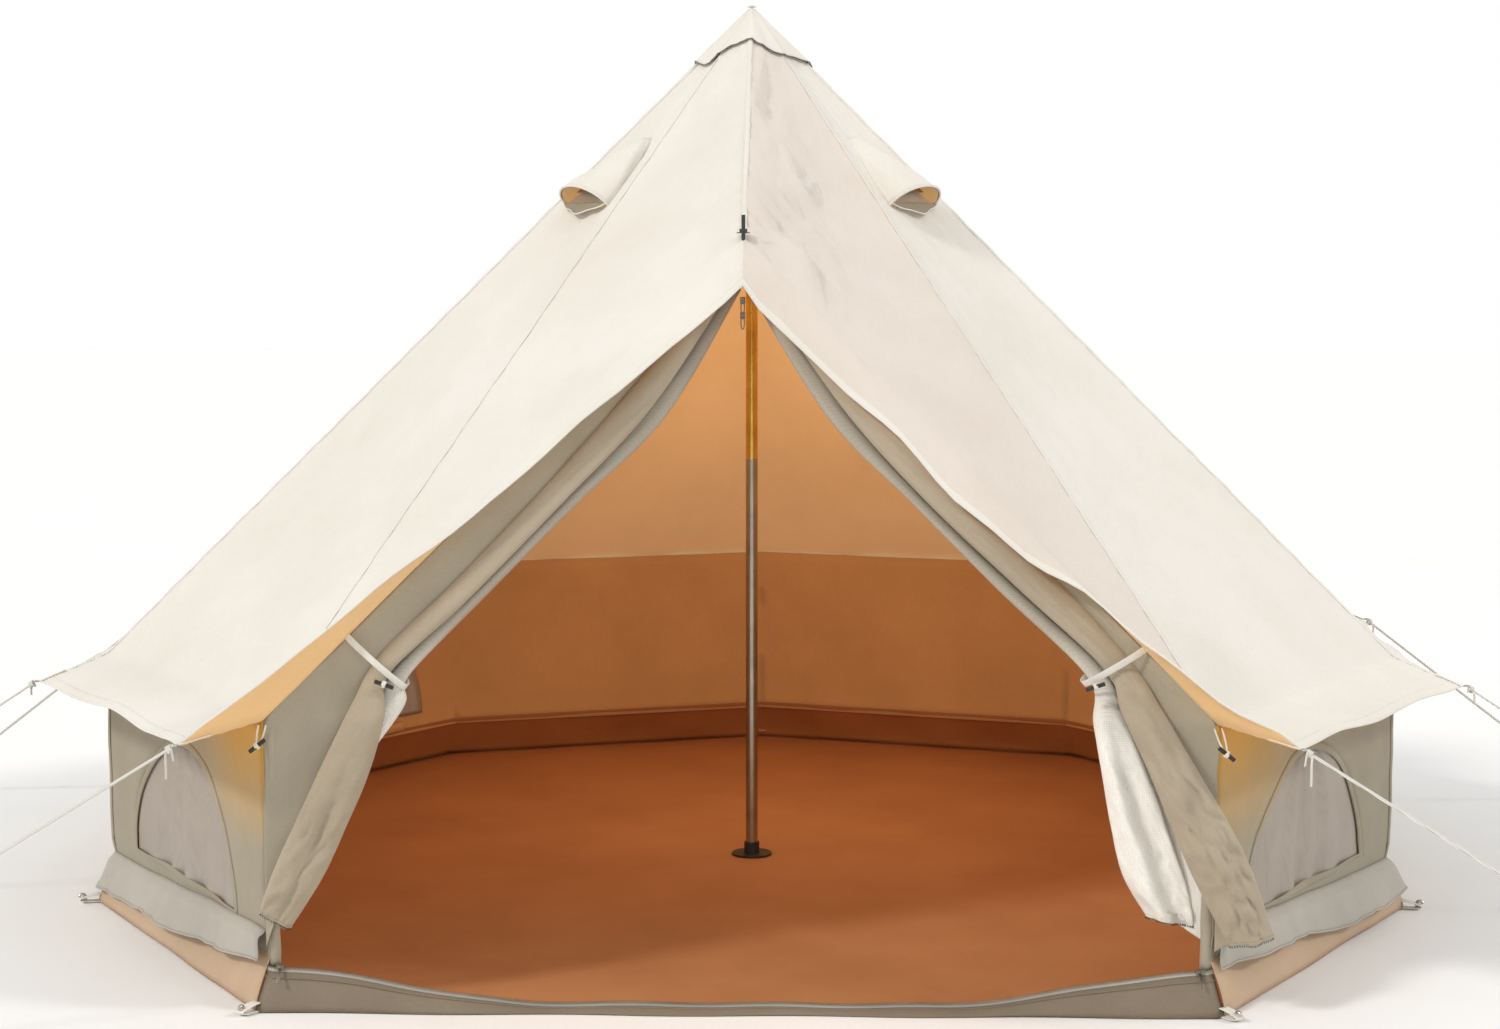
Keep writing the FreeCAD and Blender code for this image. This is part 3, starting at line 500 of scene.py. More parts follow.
# painted shade: the door net darkens towards its top
NET = netting("insect_net", (0.94, 0.91, 0.84), 0.90, (0.46, 0.41, 0.33))
WINDOW_NET = netting("window_net", (0.43, 0.385, 0.335), 0.80)
ZIP_TAPE = fabric("zip_tape", (0.47, 0.44, 0.38), (0.36, 0.33, 0.28), pitch=0.0012, crease=0.1)
DARK_NET = netting("vent_net", (0.34, 0.24, 0.13), 0.85)
ROPE = twisted("rope_strands", (0.86, 0.84, 0.78), (0.50, 0.47, 0.42))
TOGGLE = plastic("toggle_plastic", (0.030, 0.028, 0.026), (0.016, 0.015, 0.014))
FITTING = plastic("black_fitting", (0.040, 0.040, 0.042), (0.022, 0.022, 0.024), 0.5)
RUNNER = plastic("runner_plastic", (0.10, 0.10, 0.10), (0.05, 0.05, 0.05), 0.4)
DRAWN = (1, 1, 0.03)                    # stretch of the grain along a drawn tube
STEEL = metal("pole_steel", (0.50, 0.46, 0.38), (0.38, 0.35, 0.30), 0.30, DRAWN)
WARM_STEEL = metal("pole_steel_upper", (0.80, 0.54, 0.14), (0.62, 0.38, 0.08), 0.24, DRAWN)
BRIGHT = metal("bright_steel", (0.62, 0.61, 0.59), (0.45, 0.44, 0.42), 0.22)
ZIP_METAL = metal("zip_metal", (0.34, 0.30, 0.24), (0.20, 0.175, 0.14), 0.34)
SPIKE = metal("spike_steel", (0.11, 0.105, 0.10), (0.06, 0.058, 0.055), 0.38)


# ---------------------------------------------------------------- camera, floor and light

def lamp(name, kind, energy, colour):
    """New light in the scene."""
    data = bpy.data.lights.new(name, kind)
    data.energy = energy
    data.color = colour
    return add_object(name, data)


def studio():
    """Camera, pale floor and soft lights."""
    lens = bpy.data.cameras.new("Camera")
    lens.lens = 62.5
    lens.clip_end = 60
    camera = add_object("Camera", lens)
    camera.location = (0.1208, -6.0979, 1.4522)
    camera.rotation_euler = (math.radians(90 - 5.936), 0, math.radians(1.174))
    bpy.context.scene.camera = camera

    half = 30.0
    corners = [(-half, -half, 0), (half, -half, 0), (half, half, 0), (-half, half, 0)]
    mesh = bpy.data.meshes.new("Floor")
    mesh.from_pydata(corners, [], [(0, 1, 2, 3)])
    floor = add_object("Floor", mesh)
    floor.location.z = -0.0004           # just under the tent, so that their faces don't flicker
    paper = Finish("floor_paper")
    tone = paper.ramp(paper.noise(paper.place(), 1.4), (0.3, (0.88, 0.88, 0.875)), (0.7, (0.91, 0.91, 0.905)))
    paper.shade(Base_Color=tone, Roughness=0.9)
    mesh.materials.append(paper.material)

    world = bpy.data.worlds.new("Studio")
    world.use_nodes = True
    nodes, links = world.node_tree.nodes, world.node_tree.links
    nodes["Background"].inputs["Color"].default_value = (1.0, 1.0, 1.0, 1)
    path, seen = nodes.new("ShaderNodeLightPath"), nodes.new("ShaderNodeMapRange")
    seen.inputs["To Min"].default_value, seen.inputs["To Max"].default_value = 0.74, 1.0
    links.new(path.outputs["Is Camera Ray"], seen.inputs["Value"])
    links.new(seen.outputs["Result"], nodes["Background"].inputs["Strength"])
    bpy.context.scene.world = world
    bpy.context.scene.view_settings.view_transform = "Standard"

    for name, place, strength, colour in (("Key", (-4.6, -3.2, 4.6), 1.32, (1.0, 0.97, 0.92)),
                                          ("Fill", (6.0, -0.6, 4.2), 0.80, (1.0, 0.98, 0.95))):
        light = lamp(name, "SUN", strength, colour)
        light.data.angle = math.radians(9)
        light.rotation_euler = (-Vector(place)).to_track_quat("-Z", "Y").to_euler()
    glow = lamp("Glow", "POINT", 9, (1.0, 0.80, 0.56))
    glow.data.shadow_soft_size = 0.35
    glow.location = (0.1, 0.30, 0.80)
    glow.visible_camera = False
    glow.visible_glossy = False


# ---------------------------------------------------------------- guy ropes

ROPE_DIAMETER = 0.0045
RING_OUT = 0.012                         # from an eave tip to the middle of its ring
# Level way from each corner's ring to its peg, outwards to the side and back.
PEG_OFFSETS = {1: (0.856, -0.278), 2: (0.740, 0), 3: (0.640, 0.190), 4: (0.250, 0.330), 5: (0, 0.330)}
PEG_LEAD = 0.014                         # height at which a rope meets its peg
ROPE_WORDS = {1: "front", 2: "front_side", 3: "rear_side", 4: "rear", 5: "back"}
RUNNER_SHARE = 0.72                      # share of the way from the ring to the peg at which a runner sits
RUNNER_HOLE = 0.00529                    # distance of a runner's hole from its middle
RUNNER_LANE = (-0.150, -0.135, 0.088, 0.100)  # the strands run level with the holes along the runner's slide


def rope_names():
    """Name, corner number and side of every guy rope."""
    for step, word in ROPE_WORDS.items():
        if step == BACK:
            yield "back", step, RIGHT
            continue
        for side_word, side in SIDES.items():
            yield f"{word}_{side_word}", step, side


def rope_ends(step, side):
    """Eave ring, peg, direction of the rope and the level direction across it."""
    tip = eave_tip(step, side)
    ring = tip + away(tip) * RING_OUT
    out_x, out_y = PEG_OFFSETS[step]
    peg = Vector((ring.x + side * out_x, ring.y + out_y, PEG_LEAD))
    direction = (peg - ring).normalized()
    return ring, peg, direction, direction.cross(UP).normalized()


def curve_object(name, points, radius, finish, body="tent"):
    """Round cord along a smooth curve with the given control points."""
    data = bpy.data.curves.new(name, "CURVE")
    data.dimensions = "3D"
    data.bevel_depth = radius
    data.bevel_resolution = 3
    data.resolution_u = 12
    data.use_fill_caps = True
    spline = data.splines.new("NURBS")
    spline.points.add(len(points) - 1)
    for control, point in zip(spline.points, points):
        control.co = (*point, 1)
    spline.order_u = 3
    spline.use_endpoint_u = True
    data.materials.append(finish)
    piece = add_object(name, data)
    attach(piece, body)
    return piece


def knot(name, place, direction, across, tail):
    """Hitch round the ring: a few turns of cord, with a tail that hangs."""
    above = across.cross(direction).normalized()
    points = []
    for index in range(26):
        angle = 2 * math.pi * 3 * index / 25
        radius = 0.0052 + 0.0016 * math.sin(2 * angle)
        shift = direction * (0.004 + 0.011 * index / 25)
        points.append(place + shift + across * math.cos(angle) * radius + above * math.sin(angle) * radius)
    end = points[-1]
    for drop, out in ((0.010, 0.006), (0.3 * tail, 0.010), (0.7 * tail, 0.006), (tail, 0.009)):
        points.append(end - UP * drop + across * out)
    points.insert(0, place + across * 0.004 - UP * 0.5 * tail)
    return curve_object(name, points, ROPE_DIAMETER * 0.48, ROPE)


def guy_ropes():
    """Nine doubled ropes, each from its ring round a peg and back."""
    near, far = ROPE_DIAMETER * 0.6, 0.00725  # half the way between the strands at the ring and at the peg
    beyond = 0.0066                      # how far a rope goes past the middle of its peg
    for name, step, side in rope_names():
        ring, peg, direction, across = rope_ends(step, side)
        start, turn = ring + direction * 0.014, peg + direction * beyond
        back = turn - direction * 0.027
        middle = ring.lerp(peg, RUNNER_SHARE)
        lane = [middle + direction * shift for shift in RUNNER_LANE]
        out = [start - across * near] + [spot - across * RUNNER_HOLE for spot in lane]
        home = [spot + across * RUNNER_HOLE for spot in reversed(lane)] + [start + across * near]
        bight = [back - across * far, turn - across * far, turn + across * far, back + across * far]
        route = out + bight + home
        rope = curve_object(f"rope_{name}", route, ROPE_DIAMETER / 2, ROPE)
        tail = 0.055 if step == 1 else 0.022
        hitch = knot(f"knot_{name}", ring + direction * 0.002, direction, across, tail)
        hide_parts(f"guy_rope_{name}")


# ---------------------------------------------------------------- roof

GORES = 10                               # they run from the seam over the door rightwards round the tent
FRONT_GORES = (0, GORES - 1)
ROOF_ROWS = [0.012 + 0.988 * share ** 0.9 for share in spread(0, 1, 74)]
EAVE_ROWS = spread(1, 2, 13)[1:]
GORE_COLUMNS = 30
# Section of a seam: share of its half width and height over the cloth, with two ridges of stitching a side.
SEAM_PROFILE = ((-1.0, 0.0006), (-0.8, 0.0016), (-0.66, 0.0013), (-0.5, 0.0016), (0.0, 0.0013),
                (0.5, 0.0016), (0.66, 0.0013), (0.8, 0.0016), (1.0, 0.0006))


def ridge(gore):
    """Apex, kink and outer end of the ridge on which a gore starts."""
    if gore % GORES == 0:
        return APEX, PEAK, BROW
    step, side = CORNERS[gore % GORES - 1]
    return APEX, wall_corner(step, side, WALL_TOP), eave_tip(step, side)


def front_gore(gore, across):
    """Share of a front gore from the seam over the door to the post's ridge, and how slack the gore hangs."""
    return (across, 1.0) if gore == 0 else (1 - across, 0.35)


def roof_point(gore, across, down, lift=0.0):
    """Point of the canopy: across 0 to 1 over the gore, down 0 to 1 on the roof and 1 to 2 on the eave."""
    first, second = ridge(gore), ridge(gore + 1)
    outer = max(0.0, down - 1)
    upper, lower, share = (1, 2, outer) if outer else (0, 1, down)
    start, end = first[upper].lerp(first[lower], share), second[upper].lerp(second[lower], share)
    normal = upward((second[1] - APEX).cross(first[1] - APEX).normalized())
    sink = 0.010 if gore in FRONT_GORES else 0.016
    sink *= 4 * across * (1 - across) * math.sin(math.pi * min(1.0, down)) ** 0.8
    point = start.lerp(end, across) - normal * sink
    if outer:
        point += eave_sag(gore, across, outer, point)
    return point + normal * (lift + roof_relief(gore, across, down, point))


def eave_sag(gore, across, outer, point):
    """How the eave and the visor over the door sink between their tips."""
    bow = 4 * across * (1 - across)
    if gore in FRONT_GORES:
        share, slack = front_gore(gore, across)
        drop = (0.060 if gore == 0 else 0.014) * math.sin(math.pi * min(1, share * 1.04)) ** 0.7 * outer
        wave = (0.013 * math.sin(share * 15 + 1) + 0.006 * math.sin(share * 37)) * bow * outer * slack
        return Vector((0, -0.004, -1)) * (drop + wave)
    wave = 0.007 * math.sin(across * 11 + gore * 2.3) * bow
    return away(point) * (-0.022 * bow * outer) - UP * (0.008 * bow + wave) * outer


def roof_relief(gore, across, down, point):
    """Height of the creases and wrinkles in the canvas; the sewn ridges stay taut."""
    edge = min(across, 1 - across)
    free = smooth(edge / 0.08)
    relief = (0.0012 * ripple(point, 0.045, 3.1) + 0.0035 * ripple(point, 0.23, 1.0)) * (0.25 + 0.75 * free)
    relief += 0.0010 * math.exp(-edge / 0.05) * math.sin(down * 120) * smooth(down / 0.2)
    if gore in FRONT_GORES:
        return relief + front_creases(gore, across, down, point)
    streak = noise.noise(Vector((across * 9.0 + gore * 3.0, down * 1.6, 0.7)))
    return relief + 0.0040 * streak * smooth(down / 0.3) * free


def front_creases(gore, across, down, point):
    """Creases that run from the peak over the gores beside the door."""
    share, slack = front_gore(gore, across)
    near_ridge = math.exp(-((share - 0.16) / 0.20) ** 2) * smooth(down / 0.16) * smooth((1.25 - down) / 0.3)
    slant = Vector((point.x, point.z * 0.55 + point.x * 0.5, 0.0))
    folds = 1 - abs(ripple(slant, 0.055, 7.7)) * 2.4
    creases = near_ridge * (0.0095 * folds + 0.010 * ripple(slant, 0.10, 2.2))
    creases += near_ridge * 0.0045 * (0.6 - 2.6 * abs(ripple(slant, 0.030, 3.3)))
    from_peak = point - PEAK
    angle = math.atan2(from_peak.x, -from_peak.z)
    creases += math.exp(-from_peak.length / 0.30) * 0.012 * noise.noise(Vector((angle * 5.0, 0.4, gore)))
    broad = Vector((point.x * 0.8 - point.z * 0.45, point.z * 0.5, 0.3))
    creases += 0.006 * ripple(broad, 0.16, 5.0) * smooth(share / 0.2) * smooth((1.1 - down) / 0.5)
    if creases < 0:                      # no hollow at the kink, where the door is sewn on below
        creases *= 1 - math.exp(-((down - 1) / 0.08) ** 2)
    return slack * creases * smooth(share / 0.03) * smooth((1 - share) / 0.12)


def round_roof():
    """Places (gore, across) once round the roof."""
    return [(gore, column / GORE_COLUMNS) for gore in range(GORES) for column in range(GORE_COLUMNS)]


def canopy():
    """The whole roof with its eave and visor as one continuous sheet."""
    rows = [[roof_point(*place, down) for place in round_roof()] for down in ROOF_ROWS + EAVE_ROWS]
    piece = grid("canopy", rows, [ROOF_OUT, ROOF_IN, ROOF_SHADED, ROOF_IN], closed=True)
    for polygon in piece.data.polygons:
        if polygon.index % (GORES * GORE_COLUMNS) < GORE_COLUMNS:
            polygon.material_index = 2
    area = area_of(faces_outward(piece))
    thicken(piece, 0.0022, inner_material=1)
    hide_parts("roof_panels_front", "roof_panels_front_side", "roof_panels_round", "eave_valance")


def roof_seams():
    """Flat-felled seam over every ridge, with its rows of stitching."""
    pieces = []
    half = 0.008
    for gore in range(GORES):
        kink = ridge(gore)[1]
        rows = []
        for down in spread(0.09, 1.98 if gore else 1.0, 110):
            row = []
            for share, lift in SEAM_PROFILE:
                neighbour = ridge(gore + 1 if share >= 0 else gore - 1)[1]
                across = share * half / max(0.05, (neighbour - kink).length * min(down, 1))
                place = (gore, across) if share >= 0 else ((gore - 1) % GORES, 1 + across)
                row.append(roof_point(*place, down, lift))
            rows.append(row)
        pieces.append(faces_outward(grid(f"seam_{gore}", rows, ROOF_OUT)))
    thicken(join("roof_seams", pieces), 0.0009)


def eave_hem():
    """Folded hem round the edge of the eave, and the rolled cord in it."""
    profile = ((1.84, 0.0004), (1.86, 0.0012), (1.97, 0.0012), (1.999, 0.0006))
    rows = [[roof_point(*place, down, lift) for place in round_roof()] for down, lift in profile]
    band = thicken(faces_outward(grid("hem_band", rows, ROOF_OUT, closed=True)), 0.0008)
    edge = [roof_point(*place, 2.0) for place in round_roof()]
    roll = tube("hem_roll", edge, 0.0023, ROOF_OUT, closed=True)
    join("eave_hem", [band, roll])


CAP_REACH = 0.138
CAP_COLUMNS = 24
CAP_EYE = 0.003                          # hole in the middle of the cap, under its button


def cap_point(gore, across, reach, lift):
    """Point of the cap, on the canopy at a level distance from the pole."""
    base = ridge(gore)[1].lerp(ridge(gore + 1)[1], across)
    return roof_point(gore, across, max(0.004, reach / math.hypot(base.x, base.y)), lift)


def cap_hem_reach(gore, across):
    """Level reach of the cap's wavy hem."""
    turn = (gore + across) / GORES * 2 * math.pi
    wave = 0.008 * math.sin(turn * 5 + 0.6) + 0.004 * math.sin(turn * 9 + 2.0)
    return CAP_REACH * 0.93 + wave - 0.010 * math.exp(-((gore + across - 9.6) / 0.35) ** 2)


def apex_cap():
    """Second layer over the apex, with a dark cord round its hem that also paints the shadow under the hem,
    and a button.
    """
    places = [(gore, column / CAP_COLUMNS, cap_hem_reach(gore, column / CAP_COLUMNS))
              for gore in range(GORES) for column in range(CAP_COLUMNS)]
    rows = [[cap_point(gore, across, CAP_EYE + (hem - CAP_EYE) * step, 0.0035 + 0.003 * step)
             for gore, across, hem in places] for step in spread(0.0, 1.0, 16)]
    cap = faces_outward(grid("apex_cap_cloth", rows, ROOF_OUT, closed=True), Vector((0, 0, 1.5)))
    thicken(cap, 0.0016)
    # painted shadow: the dark cord also stands in for the shadow under the cap's edge
    piping = tube("cap_piping", [cap_point(*place, 0.0065) for place in places], 0.0013, PIPING, closed=True)
    button = tube("apex_button", [Vector((0, 0, APEX.z + 0.001)), Vector((0, 0, APEX.z + 0.006))],
                  lambda share: 0.011 - 0.007 * share, ROOF_OUT, sides=20)
    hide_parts("apex_cap")


# ---------------------------------------------------------------- vents

VENT_GORES = (1, 3, 6, 8)
VENT_WIDTH, VENT_LENGTH, VENT_RISE = 0.196, 0.216, 0.062
VENT_NET_LIFT = 0.0130                   # height of the mesh over the roof's plane


def vent_frame(gore):
    """Middle of a vent's mouth on the roof, with its directions along the eave, up the slope and outwards."""
    first, second = ridge(gore)[1], ridge(gore + 1)[1]
    normal = upward((first - APEX).cross(second - APEX).normalized())
    along = (second - first).normalized()
    share = (APEX.z - low("vent_hoods").z) / (APEX.z - WALL_TOP)
    middle = APEX + ((first + second) / 2 - APEX) * share - normal * 0.010
    return middle, along, upward(normal.cross(along)), normal


def vent_half(up):
    """Half width of a vent at a share of its length up the slope."""
    return VENT_WIDTH / 2 * (1 - 0.84 * up ** 1.35)


def vents():
    """Four hooded vents: arched canvas with a stiff rim and a sagging lip, over a patch of mesh."""
    hoods, rims, nets = [], [], []
    for gore in VENT_GORES:
        place, along, upslope, normal = vent_frame(gore)
        arches = []
        for up in spread(0, 1, 22):
            rise = VENT_RISE * (1 - up) ** 0.8 + 0.004
            row = []
            for turn in spread(0, math.pi, 37):
                wrinkle = 0.0030 * math.sin(turn * 5 + up * 9 + gore) * math.sin(math.pi * up) ** 0.5
                crease = 0.0040 * noise.noise(Vector((turn * 2.2, up * 5.0, gore))) * up
                row.append(place - along * math.cos(turn) * vent_half(up) + upslope * VENT_LENGTH * up
                           + normal * (math.sin(turn) ** 0.85 * rise + wrinkle + crease))
            arches.append(row)
        lip = []
        for share in spread(0, 1, 9):
            row = []
            for shift in spread(-1, 1, 25):
                sag = 0.030 * share * (1 - shift * shift) + 0.003 * math.sin(shift * 7 + gore) * share
                row.append(place + along * shift * VENT_WIDTH / 2 - upslope * sag
                           + normal * (VENT_NET_LIFT - 0.0015 * share))
            lip.append(row)
        patch = [[place + along * shift * (vent_half(up) - 0.006) + upslope * VENT_LENGTH * up
                  + normal * VENT_NET_LIFT for shift in spread(-1, 1, 9)] for up in spread(0.16, 0.58, 9)]
        below = place - normal
        hood = faces_outward(grid(f"hood_{gore}", arches, [ROOF_OUT, ROOF_IN]), below)
        # painted shade: the lip's upper face, in the hood's shade, takes the darker wall canvas instead of
        # the roof's
        flap = faces_outward(grid(f"sag_{gore}", lip, [WALL_OUT, ROOF_OUT]), below)
        hoods += [thicken(hood, 0.0018, inner_material=1), thicken(flap, 0.0012, inner_material=1)]
        binding = [point - normal * 0.0034 for point in arches[0]]
        rims += [tube(f"rim_{gore}", arches[0], 0.0030, ROOF_OUT, sides=10),
                 tube(f"binding_{gore}", binding, 0.0014, PIPING, sides=6),
                 tube(f"lip_{gore}", lip[-1], 0.0016, ROOF_OUT, sides=6)]
        nets.append(thicken(faces_outward(grid(f"net_{gore}", patch, DARK_NET), below), 0.0006))
    hood = join("vent_hood_cloth", hoods)
    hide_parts("vent_hoods")
    join("vent_rims", rims)
    join("vent_nets", nets)


# ---------------------------------------------------------------- walls and windows

PANELS = list(zip(CORNERS, CORNERS[1:]))  # from the right door post round the back to the left one
WINDOW_PANELS = (0, 2, 5, 7)
WINDOW_HALF, WINDOW_LOW, WINDOW_RISE = 0.315, 0.150, 0.285
WINDOW_ARCH = 0.64                       # share of a window's outline that is arch; the rest is its sill
PANEL_COLUMNS, PANEL_ROWS = 36, 16


def panel_length(panel):
    """Length of a wall panel along the ground."""
    first, second = PANELS[panel]
    return (wall_corner(*first, 0) - wall_corner(*second, 0)).length


def wall_point(panel, along, height, outset=0.0):
    """Point of a wall panel, along from 0 to 1, with the hang of the cloth."""
    start, end = (wall_corner(*corner, height) for corner in PANELS[panel])
    outward = UP.cross(start - end).normalized()
    if outward.dot(start) < 0:
        outward = -outward
    bow = 4 * along * (1 - along)
    drape = 0.005 * math.sin(along * 21 + panel * 1.3 + 3 * height) * bow * (1 - (height - WALL_FOOT))
    point = start.lerp(end, along)
    relief = drape + 0.0022 * ripple(point, 0.08, 4.0) + 0.004 * ripple(point, 0.3, 9.0)
    free = 0.1 + 0.9 * smooth((height - WALL_FOOT) / 0.09)
    tucked = 0.009 * smooth((0.150 - height) / 0.055)
    return point + outward * (outset + (relief - 0.006 * bow) * free - tucked)


def arch(share):
    """Outline of a window, anticlockwise from its lower right corner, as (offset along the wall, height)."""
    if share >= WINDOW_ARCH:
        return Vector((WINDOW_HALF * (-1 + 2 * (share - WINDOW_ARCH) / (1 - WINDOW_ARCH)), WINDOW_LOW))
    angle = math.pi * share / WINDOW_ARCH
    cosine, sine = math.cos(angle), math.sin(angle)
    return Vector((WINDOW_HALF * math.copysign(abs(cosine) ** 1.1, cosine),
                   WINDOW_LOW + WINDOW_RISE * abs(sine) ** 1.05))


def window_share(share, panel, outset=0.0, grow=0.0):
    """Point on a window's outline, moved outwards in the wall by grow."""
    place = arch(share)
    place += (place - Vector((0, WINDOW_LOW + WINDOW_RISE * 0.42))).normalized() * grow
    return wall_point(panel, 0.5 + place.x / panel_length(panel), place.y, outset)


def panel_edge(count_across, count_up):
    """Shares (along, up) round the edge of a panel, anticlockwise from its lower right corner."""
    edge = [(1.0, up / count_up) for up in range(count_up)]
    edge += [(1 - across / count_across, 1.0) for across in range(count_across)]
    edge += [(0.0, 1 - up / count_up) for up in range(count_up)]
    edge += [(across / count_across, 0.0) for across in range(count_across)]
    return edge


def wall_sheet():
    """The whole wall from post to post as one sheet, with arched holes for the windows."""
    vertices, faces = [], []
    tall = WALL_TOP - 0.003 - WALL_FOOT
    edge, rings = panel_edge(PANEL_COLUMNS, PANEL_ROWS), 9
    for panel in range(len(PANELS)):
        start = len(vertices)
        if panel in WINDOW_PANELS:
            for ring in range(rings + 1):
                for index, (along, up) in enumerate(edge):
                    hole = arch(index / len(edge))
                    inner = Vector((0.5 + hole.x / panel_length(panel), hole.y))
                    place = Vector((along, WALL_FOOT + tall * up)).lerp(inner, ring / rings)
                    vertices.append(wall_point(panel, place.x, place.y))
            faces += grid_faces(rings + 1, len(edge), True, start)
        else:
            vertices += [wall_point(panel, along, WALL_FOOT + tall * up)
                         for up in spread(0, 1, PANEL_ROWS + 1) for along in spread(0, 1, PANEL_COLUMNS + 1)]
            faces += grid_faces(PANEL_ROWS + 1, PANEL_COLUMNS + 1, False, start)
    piece = new_object("walls", vertices, faces, [WALL_OUT, WALL_IN])
    edit = bmesh.new()
    edit.from_mesh(piece.data)
    bmesh.ops.remove_doubles(edit, verts=edit.verts, dist=0.0004)
    bmesh.ops.recalc_face_normals(edit, faces=edit.faces)
    edit.to_mesh(piece.data)
    edit.free()
    area = area_of(faces_outward(piece))
    thicken(piece, 0.0020, inner_material=1)
    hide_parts("walls_with_windows", "walls_plain")


def window_binding(panel):
    """Binding sewn round a window."""
    profile = ((-0.009, 0.0), (-0.008, 0.0016), (0.006, 0.0018), (0.008, 0.0004))
    rows = [[window_share(share, panel, lift, grow) for share in spread(0, 1, 121)[:-1]]
            for grow, lift in profile]
    return thicken(faces_outward(grid(f"binding_{panel}", rows, WALL_OUT, closed=True)), 0.0010)


def window_mesh(panel):
    """Insect mesh behind a window, with gathered folds."""
    rows = []
    for rise in spread(0, 0.985, 26):
        half = WINDOW_HALF * math.sqrt(max(0.0, 1 - rise ** 2.05)) + 0.004
        row = []
        for place in spread(-1, 1, 61):
            folds = math.sin(place * 17 + 0.5 * math.sin(place * 5 + panel)) * (1 - place ** 2)
            depth = -0.004 + 0.0055 * folds * (1 - 0.45 * rise)
            along = 0.5 + place * half / panel_length(panel)
            row.append(wall_point(panel, along, WINDOW_LOW - 0.004 + WINDOW_RISE * rise, depth))
        rows.append(row)
    return thicken(faces_outward(grid(f"mesh_{panel}", rows, WINDOW_NET)), 0.0006)


FLAP_TIES = (-0.12, 0.12)                # places of the ties along a rolled flap
FLAP_TURNS = 2.3


def flap_middle(panel, along):
    """Point of the axis of a rolled flap."""
    return wall_point(panel, 0.5 + along / panel_length(panel), WINDOW_LOW - 0.024, -0.026)


def window_flap(panel):
    """Inner flap rolled down below a window, narrower at its ties."""
    outward = away(wall_point(panel, 0.5, WINDOW_LOW - 0.024))
    rows = []
    for along in spread(-0.215, 0.215, 40):
        waist = 1 - 0.22 * math.exp(-((abs(along) - FLAP_TIES[1]) / 0.012) ** 2)
        row = []
        for turn in spread(0, 1, 60):
            angle = 2 * math.pi * FLAP_TURNS * turn
            radius = (0.004 + 0.0125 * turn) * waist + 0.0012 * math.sin(along * 60 + angle)
            spoke = outward * math.cos(angle) + UP * math.sin(angle)
            row.append(flap_middle(panel, along) + spoke * radius)
        rows.append(row)
    return thicken(grid(f"roll_{panel}", rows, WALL_IN), 0.0012, offset=0)


def flap_ties(panel):
    """Strap round the rolled flap and the toggle that holds it, twice."""
    pieces = []
    for along in FLAP_TIES:
        middle = flap_middle(panel, along)
        outward = away(middle)
        across = outward.cross(UP)
        loop = [middle + (outward * math.cos(turn) + UP * math.sin(turn)) * 0.0155
                for turn in spread(0, 2 * math.pi, 25)]
        pieces.append(ribbon(f"strap_{panel}", loop, across, 0.010, 0.0012, WEBBING))
        stick = [middle - outward * 0.019 + across * shift for shift in (-0.015, -0.012, 0.012, 0.015)]
        pieces.append(tube(f"stick_{panel}", stick, lambda share: 0.0032 if 0.05 < share < 0.95 else 0.0018,
                           TOGGLE))
    return pieces


def windows():
    """Four arched windows: binding, insect mesh and the inner flap rolled down and tied."""
    binding = join("window_bindings", [window_binding(panel) for panel in WINDOW_PANELS])
    net = join("window_mesh", [window_mesh(panel) for panel in WINDOW_PANELS])
    flap = join("window_flaps", [window_flap(panel) for panel in WINDOW_PANELS])
    strap = join("window_flap_ties", [piece for panel in WINDOW_PANELS for piece in flap_ties(panel)])
    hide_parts("mesh_screens")
    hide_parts("window_flaps_rolled")


def corner_seams():
    """Seam down every wall corner."""
    pieces = []
    for panel in range(1, len(PANELS)):
        rows = []
        for height in spread(WALL_FOOT, WALL_TOP - 0.004, 30):
            before = wall_point(panel - 1, 0.988, height, 0.0014)
            after = wall_point(panel, 0.012, height, 0.0014)
            middle = wall_point(panel, 0.0, height, 0.0022)
            rows.append([before, before.lerp(middle, 0.5), middle, middle.lerp(after, 0.5), after])
        pieces.append(thicken(faces_outward(grid(f"seam_{panel}", rows, WALL_OUT)), 0.0009))
    join("wall_seams", pieces)


# ---------------------------------------------------------------- foot of the tent

def skirt_heights(place):
    """Top and hem of the mud skirt, some panels from the right post; it rides up towards both posts."""
    lift = smooth(1 - min(place, len(PANELS) - place))
    wave = 0.007 * math.sin(place * 8.0) + 0.004 * math.sin(place * 19.0)
    return 0.112 + 0.040 * lift, 0.036 + 0.052 * lift + wave * (1 - lift * 0.3)


def round_panels(count):
    """Places (panel, along) from post to post, with count steps in each panel."""
    shares = spread(0, 1, count + 1)[:-1]
    return [(panel, along) for panel in range(len(PANELS)) for along in shares] + [(len(PANELS) - 1, 1.0)]


def mud_skirt():
    """Canvas flap round the foot of the walls, with a wavy and gathered hem."""
    rows = []
    for share in spread(0, 1, 11):
        row = []
        for panel, along in round_panels(36):
            place = panel + along
            top, hem = skirt_heights(place)
            near_post = smooth(min(place, len(PANELS) - place) / 0.16)
            wave = 1 + 0.22 * math.sin(place * 9.4 + 0.6)
            flare = 0.0025 + 0.0145 * smooth(share / 0.25)
            flare += (0.25 + 0.75 * near_post) * 0.036 * share ** 1.3 * wave
            flare += 0.0032 * smooth(share / 0.5) * math.sin(place * 53 + 2 * math.sin(place * 17))
            row.append(wall_point(panel, along, top + (hem - top) * share, flare))
        rows.append(row)
    piece = faces_outward(grid("skirt", rows, SKIRT))
    hem = tube("skirt_hem", rows[-1], 0.0020, SKIRT)
    thicken(piece, 0.0015)
    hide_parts("mud_skirt")


